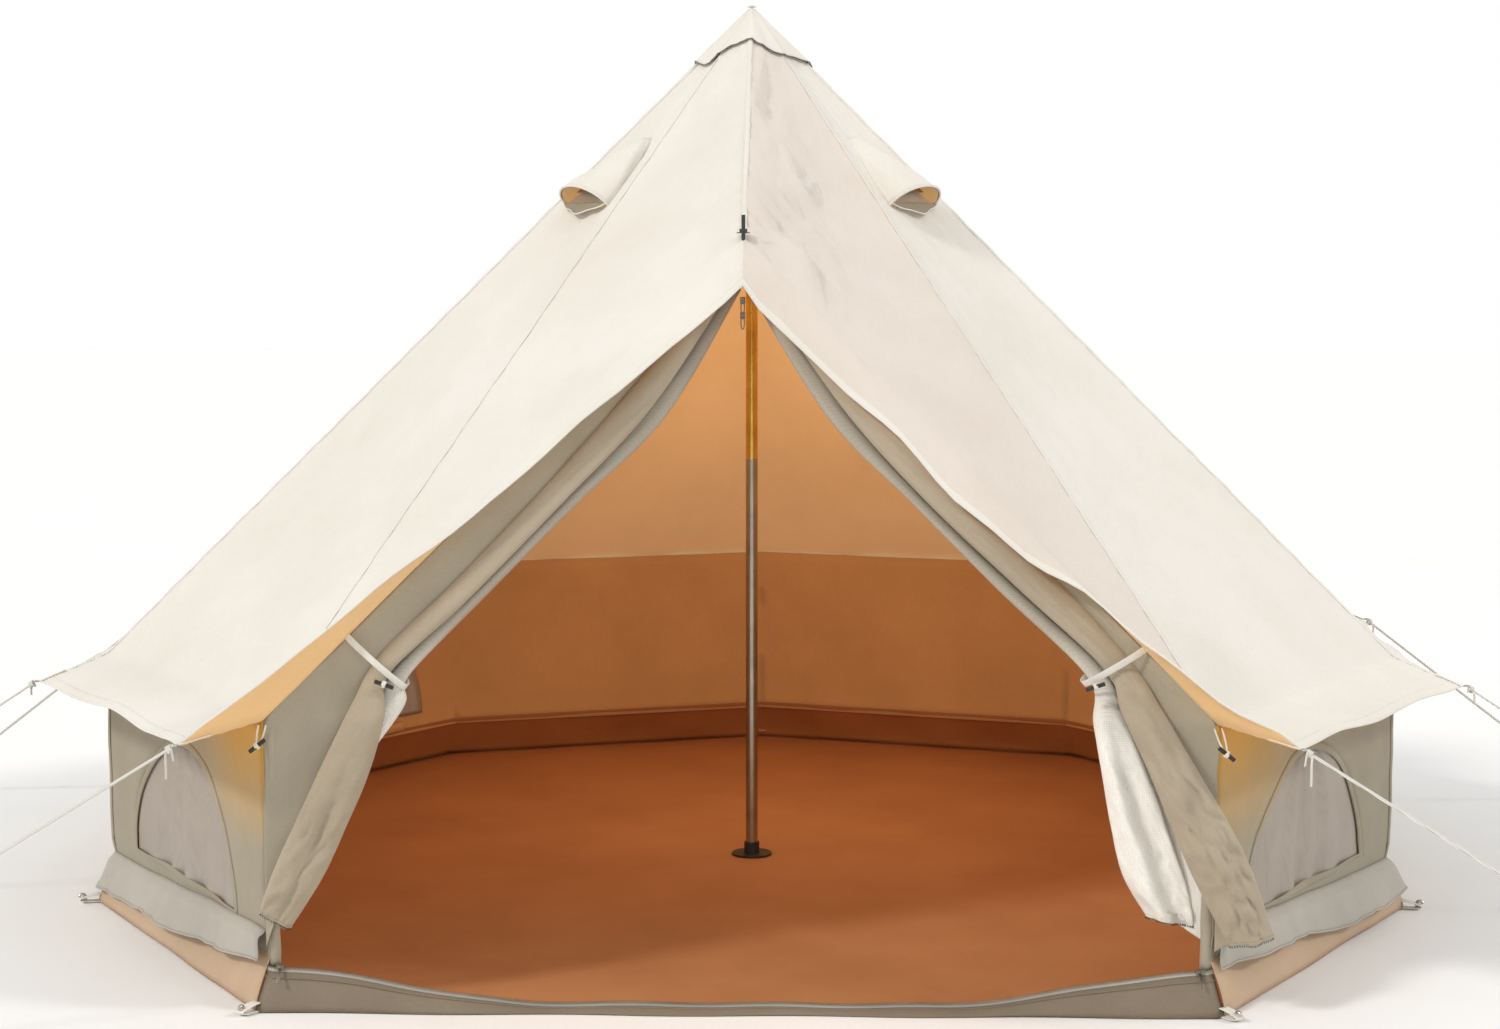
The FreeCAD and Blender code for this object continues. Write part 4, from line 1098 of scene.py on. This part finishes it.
GROUND_LIFT = 0.002                      # height of the groundsheet's underside


def ground_ring(height_share):
    """Points round the standing sides of the groundsheet; share 0 is on the ground and 1 at the top."""
    row = []
    for panel, along in round_panels(28):
        outset = FLOOR_FLARE * (1 - height_share) - 0.016 * height_share
        first, second = (wall_corner(*corner, 0, outset) for corner in PANELS[panel])
        point = first.lerp(second, along)
        bulge = 0.009 * math.sin(math.pi * height_share ** 0.7) * (0.6 + ripple(point, 0.16, 6.0))
        wave = 0.006 * 4 * along * (1 - along) * ripple(point, 0.25, 8.0) * (1 - height_share)
        row.append(point + away(point) * (bulge + wave) + UP * (GROUND_LIFT + 0.112 * height_share))
    return row


def groundsheet():
    """Floor and standing sides of the groundsheet, one sewn sheet."""
    sides = [ground_ring(share) for share in spread(0, 1, 9)]
    skin = faces_outward(grid("ground_sides", sides, [GROUND_OUT, GROUND_IN]))
    thicken(skin, 0.0016, inner_material=1)
    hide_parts("groundsheet_sides")
    outline = sides[0]
    edge = outline + [outline[-1].lerp(outline[0], share) for share in spread(0, 1, 61)[1:-1]]
    rows = []
    for share in spread(0.02, 1, 40):
        row = []
        for point in edge:
            place = Vector((point.x * share, point.y * share, GROUND_LIFT))
            relief = 0.0014 * ripple(place, 0.12, 2.0) + 0.0012 * ripple(place, 0.4)
            row.append(place + UP * (0.0016 + relief))
        rows.append(row)
    floor = faces_outward(grid("groundsheet", rows, [GROUND_IN, GROUND_OUT], closed=True), Vector((0, 0, -1)))
    thicken(floor, 0.0012)
    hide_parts("groundsheet_floor")


def lip_height(x):
    """Height of the threshold's top edge across the door."""
    return 0.010 + 0.066 * smooth((abs(x) - 0.36) / 0.55) + 0.0015 * math.sin(x * 23)


def lip_point(x, share, lift=0.0):
    """Point of the threshold, share 0 at the ground and 1 on top; its ends meet the standing sides."""
    end = smooth((abs(x) - 0.885) / 0.016)
    y = -DOOR_LINE - 0.028 * (1 - share) + (1 - end) * (0.004 * math.sin(x * 14) * (1 - share) - 0.010)
    bulge = -0.005 * math.sin(math.pi * share) * (1 - end)
    spill = math.copysign(0.019 * (1 - share) * smooth((abs(x) - 0.80) / 0.10), x)
    return Vector((x + spill, y + bulge - lift, GROUND_LIFT + (lip_height(x) - GROUND_LIFT) * share))


def threshold():
    """Lip across the door: cloth, zip tape, welt and teeth."""
    across_door = spread(-DOOR_HALF - 0.001, DOOR_HALF + 0.001, 121)
    rows = [[lip_point(x, share) for x in across_door] for share in spread(0, 1, 7)]
    lip = grid("threshold_lip", rows, LIP)
    thicken(lip, 0.0016)
    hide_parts("door_threshold")
    top = shifted([lip_point(x, 1.0) for x in across_door], 0.002, 0.003)
    tape = ribbon("threshold_tape", top, Vector((0, 0.5, 1)), 0.008, 0.0014, ZIP_TAPE)
    welt = tube("threshold_welt", [lip_point(x, 0.86, 0.0015) for x in across_door], 0.0016, LIP)
    teeth = zip_teeth("threshold_teeth", shifted(top, -0.001, 0.005), Vector((0, 1, 0)))


def zip_teeth(name, line, across, body="tent", pitch=0.0050, size=0.0036):
    """Row of small zip teeth along a line."""
    vertices, faces = [], []
    side = across.normalized()
    travelled, due = 0.0, 0.0
    for start, end in zip(line, line[1:]):
        step = (end - start).length
        along = (end - start).normalized()
        axes = (along, side, side.cross(along).normalized())
        while due < travelled + step:
            faces += [tuple(len(vertices) + corner for corner in face) for face in BLOCK_FACES]
            centre = start.lerp(end, (due - travelled) / step)
            vertices += block_corners(centre, axes, (0.72 * size, size, 0.8 * size))
            due += pitch
        travelled += step
    piece = new_object(name, vertices, faces, ZIP_METAL, body)
    piece.data.polygons.foreach_set("use_smooth", [False] * len(piece.data.polygons))
    return piece


# ---------------------------------------------------------------- doors

# Lines of a tied-back door from the peak past its tie to its foot, as (x, z). A cloth is sewn to the seam and
# the post, turns under its roll at the crease and is wound up between the crease and the roll's inner edge.
# Each roll is its crease, then its inner edge.
SEWN = [(0.026, 1.425), (0.247, 1.205), (0.423, 1.032), (0.605, 0.850), (0.763, 0.690), (0.892, 0.562),
        (0.900, 0.450), (0.900, 0.340), (0.900, 0.230), (0.900, 0.120)]
CANVAS_ROLLS = {
    "left": ([(0.022, 1.412), (0.215, 1.175), (0.385, 0.980), (0.560, 0.797), (0.690, 0.672), (0.734, 0.591),
              (0.786, 0.487), (0.834, 0.380), (0.880, 0.280), (0.908, 0.198)],
             [(0.012, 1.385), (0.175, 1.135), (0.350, 0.948), (0.525, 0.770), (0.664, 0.638), (0.671, 0.562),
              (0.700, 0.455), (0.740, 0.358), (0.787, 0.258), (0.850, 0.160)]),
    "right": ([(0.024, 1.415), (0.240, 1.185), (0.412, 1.010), (0.592, 0.832), (0.745, 0.668), (0.797, 0.585),
               (0.858, 0.482), (0.918, 0.384), (0.965, 0.290), (1.008, 0.165)],
              [(0.014, 1.395), (0.192, 1.138), (0.352, 0.962), (0.531, 0.796), (0.690, 0.650), (0.722, 0.570),
               (0.778, 0.445), (0.833, 0.310), (0.880, 0.215), (0.920, 0.145)]),
}
MESH_ROLLS = {
    "left": ([(0.014, 1.390), (0.190, 1.140), (0.365, 0.950), (0.540, 0.772), (0.668, 0.640), (0.700, 0.580),
              (0.765, 0.490), (0.820, 0.380), (0.850, 0.290), (0.868, 0.230)],
             [(0.006, 1.360), (0.150, 1.115), (0.315, 0.953), (0.478, 0.790), (0.629, 0.634), (0.640, 0.575),
              (0.712, 0.470), (0.755, 0.365), (0.800, 0.280), (0.828, 0.225)]),
    "right": ([(0.016, 1.400), (0.197, 1.135), (0.354, 0.957), (0.534, 0.790), (0.695, 0.645), (0.735, 0.560),
               (0.785, 0.440), (0.832, 0.310), (0.862, 0.225), (0.872, 0.160)],
              [(0.008, 1.365), (0.168, 1.112), (0.330, 0.952), (0.497, 0.788), (0.660, 0.633), (0.672, 0.545),
               (0.690, 0.440), (0.706, 0.350), (0.730, 0.255), (0.775, 0.178)]),
}
TIE_SHARE = 4.1 / 9                      # share of the way down at which a tie goes round a door
FLAT_SHARE = 0.14                        # share of a door cloth between its sewn edge and its roll
DOOR_COLUMNS = 180

# How each cloth is wound: depth of its sewn edge, depth of the roll's middle above and below the tie, where
# below the tie the roll comes forward and how gently, its thickness as a share of its width above and below
# the tie, its turns, and how the turns tighten, gather, step, sway and crumple.
FORMS = {
    "canvas_left": dict(start=-0.003, above=0.018, below=-0.026, leaves=0.60, swings=0.22, fat=(0.50, 0.34),
                        turns=2.9, tighten=0.42, gather=0.16, step=0.013, sway=0.0035, rough=1.15, seed=0.4),
    "canvas_right": dict(start=-0.003, above=0.018, below=-0.042, leaves=0.48, swings=0.22, fat=(0.60, 0.66),
                         turns=2.7, tighten=0.42, gather=0.12, step=0.0, sway=0.0045, rough=2.1, seed=2.6),
    "mesh_left": dict(start=0.033, above=0.053, below=0.053, leaves=0.50, swings=0.22, fat=(0.55, 0.30),
                      turns=3.2, tighten=0.45, gather=0.22, step=0.0, sway=0.002, rough=0.7, seed=5.1),
    "mesh_right": dict(start=0.033, above=0.053, below=0.043, leaves=0.50, swings=0.22, fat=(0.55, 0.24),
                       turns=2.8, tighten=0.45, gather=0.20, step=0.0, sway=0.009, rough=0.9, seed=7.7),
}


def flat_point(outline, down):
    """Point (x, z) of a door outline."""
    point = through([Vector((x, 0, z)) for x, z in outline], down)
    return Vector((point.x, point.z))


def pinch(down):
    """1 at the tie and 0 away from it."""
    return math.exp(-((down - TIE_SHARE) / 0.045) ** 2)


def coiled(side, rolls, form, down, across):
    """Point of a door cloth: flat from its sewn edge to behind its roll, then wound up inside the roll."""
    crease, edge = flat_point(rolls[0], down), flat_point(rolls[1], down)
    middle, half = crease.lerp(edge, 0.5), (crease - edge).length / 2
    outward = (crease - edge).normalized()
    hang = smooth((down - form["leaves"]) / form["swings"])
    centre = form["above"] + (form["below"] - form["above"]) * hang
    fat = form["fat"][0] + (form["fat"][1] - form["fat"][0]) * hang
    thick = half * fat * (1 - 0.2 * pinch(down))
    if across < FLAT_SHARE:
        share = across / FLAT_SHARE
        place = flat_point(SEWN, down).lerp(middle, share)
        start = form["start"] + 0.006 * (1 - hang)
        depth = start + (centre + thick - start) * share ** 1.2
        depth += 0.004 * math.sin(math.pi * share) * ripple(Vector((place.x, place.y, form["seed"])), 0.10)
        return door_point(side, place.x, place.y, depth)
    wound = (across - FLAT_SHARE) / (1 - FLAT_SHARE)
    angle = -math.pi / 2 - 2 * math.pi * form["turns"] * wound
    inside = smooth((wound * form["turns"] - 1.0) / 0.25)
    reach = (1 - form["tighten"] * wound) * (1 + form["gather"] * inside * math.sin(9 * angle))
    place = middle + outward * math.cos(angle) * half * reach * (1 - 0.1 * pinch(down))
    share = 0.5 - 0.5 * math.cos(angle) * reach
    along = Vector((share * half / 0.017, down * 17.0 + 1.2 * share, form["seed"]))
    folds = 0.6 - 2.2 * abs(noise.noise(along * 1.7 + Vector((3, 1, 2))))
    crumple = 0.0050 * noise.noise(along) + 0.0042 * folds
    crumple *= form["rough"] * (0.35 + 0.65 * hang) * min(1.0, half / 0.03)
    sway = form["sway"] * hang * math.sin(9 * share + 4 * down + form["seed"])
    depth = centre - math.sin(angle) * thick * reach + crumple + sway
    depth += form["step"] * hang * smooth((share - 0.42) / 0.16)
    return door_point(side, place.x, place.y, depth)


def door_sheet(name, side_word, rolls, form, finish, node):
    """Door cloth as one sheet, wound round its roll; returns the line of its foot."""
    side = SIDES[side_word]
    rows = [[coiled(side, rolls[side_word], form, down, across) for across in spread(0, 1, DOOR_COLUMNS + 1)]
            for down in spread(0, 1, 91)]
    piece = grid(name, rows, finish, None)
    front = [face for face in piece.data.polygons if face.index % DOOR_COLUMNS < DOOR_COLUMNS * FLAT_SHARE]
    if sum(face.normal.y * face.area for face in front) > 0:
        piece.data.flip_normals()
    thicken(piece, 0.0012, inner_material=len(piece.data.materials) - 1)
    post = wall_corner(1, side, WALL_TOP)
    seam = (PEAK - post).normalized()
    into = Vector((-side, 0, -0.6))
    into = (into - seam * into.dot(seam)).normalized()
    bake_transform(piece)
    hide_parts(node)
    first = round(DOOR_COLUMNS * FLAT_SHARE)
    return rows[-1][first:first + round((DOOR_COLUMNS - first) / form["turns"])]


def doors():
    """Canvas and mesh doors wound up and tied back, each with its zip edge."""
    tooth_way = Vector((0, 1, 0.2))
    for word in SIDES:
        body = f"door_{word}"
        foot = door_sheet(f"door_canvas_{word}", word, CANVAS_ROLLS, FORMS[f"canvas_{word}"],
                          [DOOR_OUT, DOOR_IN], f"canvas_door_{word}")
        net_foot = door_sheet(f"door_mesh_{word}", word, MESH_ROLLS, FORMS[f"mesh_{word}"], NET,
                              f"mesh_door_{word}")
        tape = tube(f"door_hem_{word}", foot, 0.0026, DOOR_OUT, body)
        teeth = zip_teeth(f"door_teeth_{word}", shifted(foot, -0.002, -0.005), tooth_way, body)
        band = ribbon(f"net_hem_{word}", shifted(net_foot, -0.0015, 0.007), UP, 0.018, 0.0022, WEBBING, body)
        net_teeth = zip_teeth(f"net_teeth_{word}", shifted(net_foot, -0.0015, -0.005), tooth_way, body)


HINGE_WAY = Vector((0, 0.9095, -0.4156))  # direction from a tie's toggle along its hinge to the door
# Place of each tie on the seam and where it turns back round the door, as (x, z).
ANCHORS = {"left": ((0.752, 0.712), (0.634, 0.612)), "right": ((0.775, 0.694), (0.652, 0.622))}


def lashing(name, middle, direction, body):
    """Cord wound round the waist of a toggle."""
    direction = direction.normalized()
    beside = Vector((0, 1, 0)).cross(direction).normalized()
    behind = direction.cross(beside)
    coil = [middle + direction * (0.006 * share - 0.003)
            + (behind * math.cos(16 * share) + beside * math.sin(16 * share)) * 0.0057
            for share in spread(0, 1, 41)]
    tube(name, coil, 0.0017, WEBBING, body)


def tie(word, side):
    """Webbing tie from the seam round a wound door, with its toggle's lashing."""
    anchor, turn_back = (Vector(spot) for spot in ANCHORS[word])
    loop = []
    for turn in spread(0, 2 * math.pi, 61):
        share = 0.5 - 0.5 * math.cos(turn)
        place = anchor.lerp(turn_back, share)
        bow = math.copysign(abs(math.sin(turn)) ** 0.7, math.sin(turn))
        depth = 0.006 + 0.025 * share - bow * (0.0265 if bow > 0 else 0.056)
        loop.append(door_point(side, place.x, place.y, depth))
    slope = Vector((side * 0.75, 0.1, -0.95))
    strap = ribbon(f"tie_strap_{word}", loop, slope, 0.013, 0.0014, WEBBING, f"door_{word}")
    middle = middle_of(f"tie_toggle_{word}")
    lashing(f"tie_lashing_{word}", middle, Vector((side, 0, 0.35)), f"tie_toggle_{word}")
    cord = [middle + HINGE_WAY * reach for reach in (0.0050, 0.0085, 0.0120, 0.0155)]
    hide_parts(f"door_tie_{word}")
    tube(f"tie_cord_{word}", cord, 0.0019, WEBBING, f"door_{word}")
    give(f"tie_toggle_{word}", TOGGLE)


def sleeve_line(side):
    """Middle of the sleeve on one post, round the shoulder and up the seam."""
    post = wall_corner(1, side, WALL_TOP)
    peak_end = PEAK + (post - PEAK).normalized() * 0.046 + Vector((side * -0.005, 0.013, -0.011))
    shoulder = post + Vector((side * -0.011, 0.015, -0.014))
    slope = (peak_end - shoulder).normalized()
    below, above = shoulder - UP * 0.026, shoulder + slope * 0.026
    line = [Vector((below.x, below.y, 0.080)).lerp(below, share) for share in spread(0, 1, 40)]
    line += [below.lerp(shoulder, share).lerp(shoulder.lerp(above, share), share)
             for share in spread(0, 1, 11)[1:]]
    return line + [above.lerp(peak_end - slope * 0.062, share) for share in spread(0, 1, 90)[1:]]


def leg_sleeves():
    """Canvas sleeves, sewn to the posts and seams, in which the two sides of the door's frame sit."""
    pieces = []
    for word, side in SIDES.items():
        line = sleeve_line(side)
        rows = []
        for index, point in enumerate(line):
            along = (line[min(index + 1, len(line) - 1)] - line[max(index - 1, 0)]).normalized()
            beside = along.cross(Vector((0, 1, 0))).normalized()
            front = beside.cross(along)
            rows.append([point + (beside * math.cos(turn) + front * math.sin(turn))
                         * (0.0121 + 0.0006 * math.sin(index * 0.9 + 2 * turn)) for turn in turns(20)])
        pieces.append(thicken(grid(f"sleeve_{word}", rows, DOOR_OUT, closed=True, flip=True), 0.0012))
    join("leg_sleeves", pieces)


def spare_loop(word, side):
    """White loop on the door post that carries the spare toggle."""
    middle = middle_of(f"spare_toggle_{word}")
    anchor = wall_corner(1, side, WALL_TOP - 0.012) + Vector((0, -0.006, 0))
    points = []
    for share in spread(0, 1, 25):
        swing = math.sin(math.pi * share)
        apart = Vector((side * 0.007 * math.cos(math.pi * share), 0.0078 * swing, 0.003 * (1 - swing)))
        points.append(anchor.lerp(middle, swing) + apart)
    tube(f"spare_loop_{word}", points, 0.0018, WEBBING)
    lashing(f"spare_lashing_{word}", middle, Vector((side, 0, -0.8)), f"spare_toggle_{word}")
    give(f"spare_toggle_{word}", TOGGLE)


# ---------------------------------------------------------------- metal and plastic fittings

def give(name, material):
    """Put one material on a carried-over CAD node."""
    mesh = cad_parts[name].data
    mesh.materials.clear()
    mesh.materials.append(material)


PULL_WAY = Vector((0, -0.720, -0.694))   # a pull leans out over the threshold
PULL_THICKNESS_WAY = Vector((0, -0.694, 0.720))
SLIDER_SLOPE = 0.14                      # of the zip along the threshold at its ends


def zips(word, side):
    """Slider with a headed stud, and the pull whose eye turns on the stud; it leans out over the lip."""
    body, pull_body = f"zip_slider_{word}", f"zip_pull_{word}"
    middle = middle_of(body)
    axes = (Vector((1, 0, side * SLIDER_SLOPE)).normalized(), Vector((0, 1, 0)),
            Vector((side * -SLIDER_SLOPE, 0, 1)).normalized())
    plates = [block(f"plate_{word}_{n}", middle + Vector((0, shift, 0)), axes, (0.015, 0.0018, 0.0105),
                    ZIP_METAL, body, 0.4) for n, shift in enumerate((-0.0024, 0.0024))]
    core = block(f"core_{word}", middle, axes, (0.005, 0.0050, 0.009), ZIP_METAL, body)
    stud = tube(f"stud_{word}", [middle + Vector((0, y, 0)) for y in (-0.0030, -0.0057, -0.0059, -0.0069)],
                lambda share: 0.0012 if share < 0.5 else 0.0026, ZIP_METAL, body, sides=14)
    slider = join(f"slider_{word}", plates + [core, stud])
    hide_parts(f"zip_slider_{word}")
    pivot = middle_of(pull_body)
    pivot.z = middle.z
    ring = [pivot + Vector((math.cos(turn), 0, math.sin(turn))) * 0.0026 for turn in turns(24)]
    eye = tube(f"pull_eye_{word}", ring, 0.0009, ZIP_METAL, pull_body, closed=True)
    length = pivot.z - low(pull_body).z
    grip = block(f"grip_{word}", pivot + PULL_WAY * (0.0036 + length / 2),
                 (Vector((1, 0, 0)), PULL_THICKNESS_WAY, PULL_WAY), (0.0058, 0.0018, length),
                 ZIP_METAL, pull_body, 0.4)
    pull = join(f"pull_{word}", [eye, grip])
    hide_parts(f"zip_pull_{word}")


def upper_zip_pulls():
    """Two parked sliders at the top of the doors, one above the other, with their pulls."""
    pieces = []
    for number, drop in enumerate((0.030, 0.060)):
        centre = BROW + Vector((0, 0.022, -drop))
        axes = (Vector((1, 0, 0)), Vector((0, 1, 0)), UP)
        pieces.append(block(f"top_slider_{number}", centre, axes, (0.010, 0.007, 0.014), ZIP_METAL))
        outline = [centre + Vector((0.0035 * math.cos(turn), -0.006, -0.014 + 0.013 * math.sin(turn)))
                   for turn in turns(24)]
        pieces.append(tube(f"top_pull_{number}", outline, 0.0011, ZIP_METAL, closed=True))
    join("top_zip_pulls", pieces)


# Line of a hooked peg, as (outwards, height).
HOOK = ((0, 0.001), (0, 0.012), (0.003, 0.018), (0.009, 0.019), (0.014, 0.014))


def corner_tabs():
    """Webbing loop, folded over and sewn, at each corner of the groundsheet, with its hooked steel peg."""
    loops, pegs = [], []
    for step, side in CORNERS:
        corner = wall_corner(step, side, 0, FLOOR_FLARE)
        outward = away(corner)
        line = [corner + outward * (0.046 * math.sin(math.pi * share) ** 0.6 - 0.006)
                + UP * (0.0022 + 0.016 * share ** 1.5) for share in spread(0, 1, 17)]
        loops.append(ribbon(f"tab_{step}", line, outward.cross(UP), 0.022, 0.0018, WEBBING))
        hook = [corner + outward * (0.028 + out) + UP * height for out, height in HOOK]
        pegs.append(tube(f"hook_{step}", [through(hook, share) for share in spread(0, 1, 17)], 0.0034, BRIGHT,
                         sides=10))
    tabs, stakes = join("corner_tabs", loops), join("corner_hooks", pegs)
    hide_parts("peg_tabs")
    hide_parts("corner_pegs")


def rings_and_patches():
    """Round ring and sewn webbing tab at every eave tip."""
    rings, tabs = [], []
    for name, step, side in rope_names():
        ring, tip = rope_ends(step, side)[0], eave_tip(step, side)
        outward = away(ring)
        beside = outward.cross(UP)
        circle = [ring + UP * 0.001 + (outward * math.cos(turn) + beside * math.sin(turn)) * 0.0072
                  for turn in turns(32)]
        rings.append(tube(f"ring_{name}", circle, 0.0014, BRIGHT, closed=True))
        inner = wall_corner(step, side, WALL_TOP)
        line = [tip.lerp(inner, 0.36), tip.lerp(inner, 0.18), tip, ring - outward * 0.006]
        line = [through(line, share) + UP * 0.0028 for share in spread(0, 1, 13)]
        tabs.append(ribbon(f"patch_{name}", line, beside, 0.013, 0.0016, WEBBING))
    ring, tab = join("rings", rings), join("eave_tabs", tabs)
    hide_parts("eave_rings")


CARRIED_OVER = {STEEL: ("pole_lower_section", "pole_joint_sleeve", "frame_leg_left", "frame_leg_right"),
                WARM_STEEL: ("pole_upper_section",),
                BRIGHT: ("guy_pegs",),
                SPIKE: ("door_spike", "spike_washers"),
                FITTING: ("pole_foot_plate", "pole_top_cap", "frame_peak_bracket"),
                RUNNER: tuple(f"guy_runner_{name}" for name, step, side in rope_names())}


def carried_over():
    """Materials of the CAD parts that are shown as they are."""
    for material, names in CARRIED_OVER.items():
        for name in names:
            give(name, material)


# ---------------------------------------------------------------- the scene

studio()
guy_ropes()
canopy()
roof_seams()
eave_hem()
apex_cap()
vents()
wall_sheet()
windows()
corner_seams()
mud_skirt()
groundsheet()
threshold()
doors()
leg_sleeves()
for word, side in SIDES.items():
    tie(word, side)
    spare_loop(word, side)
    zips(word, side)
upper_zip_pulls()
corner_tabs()
rings_and_patches()
carried_over()
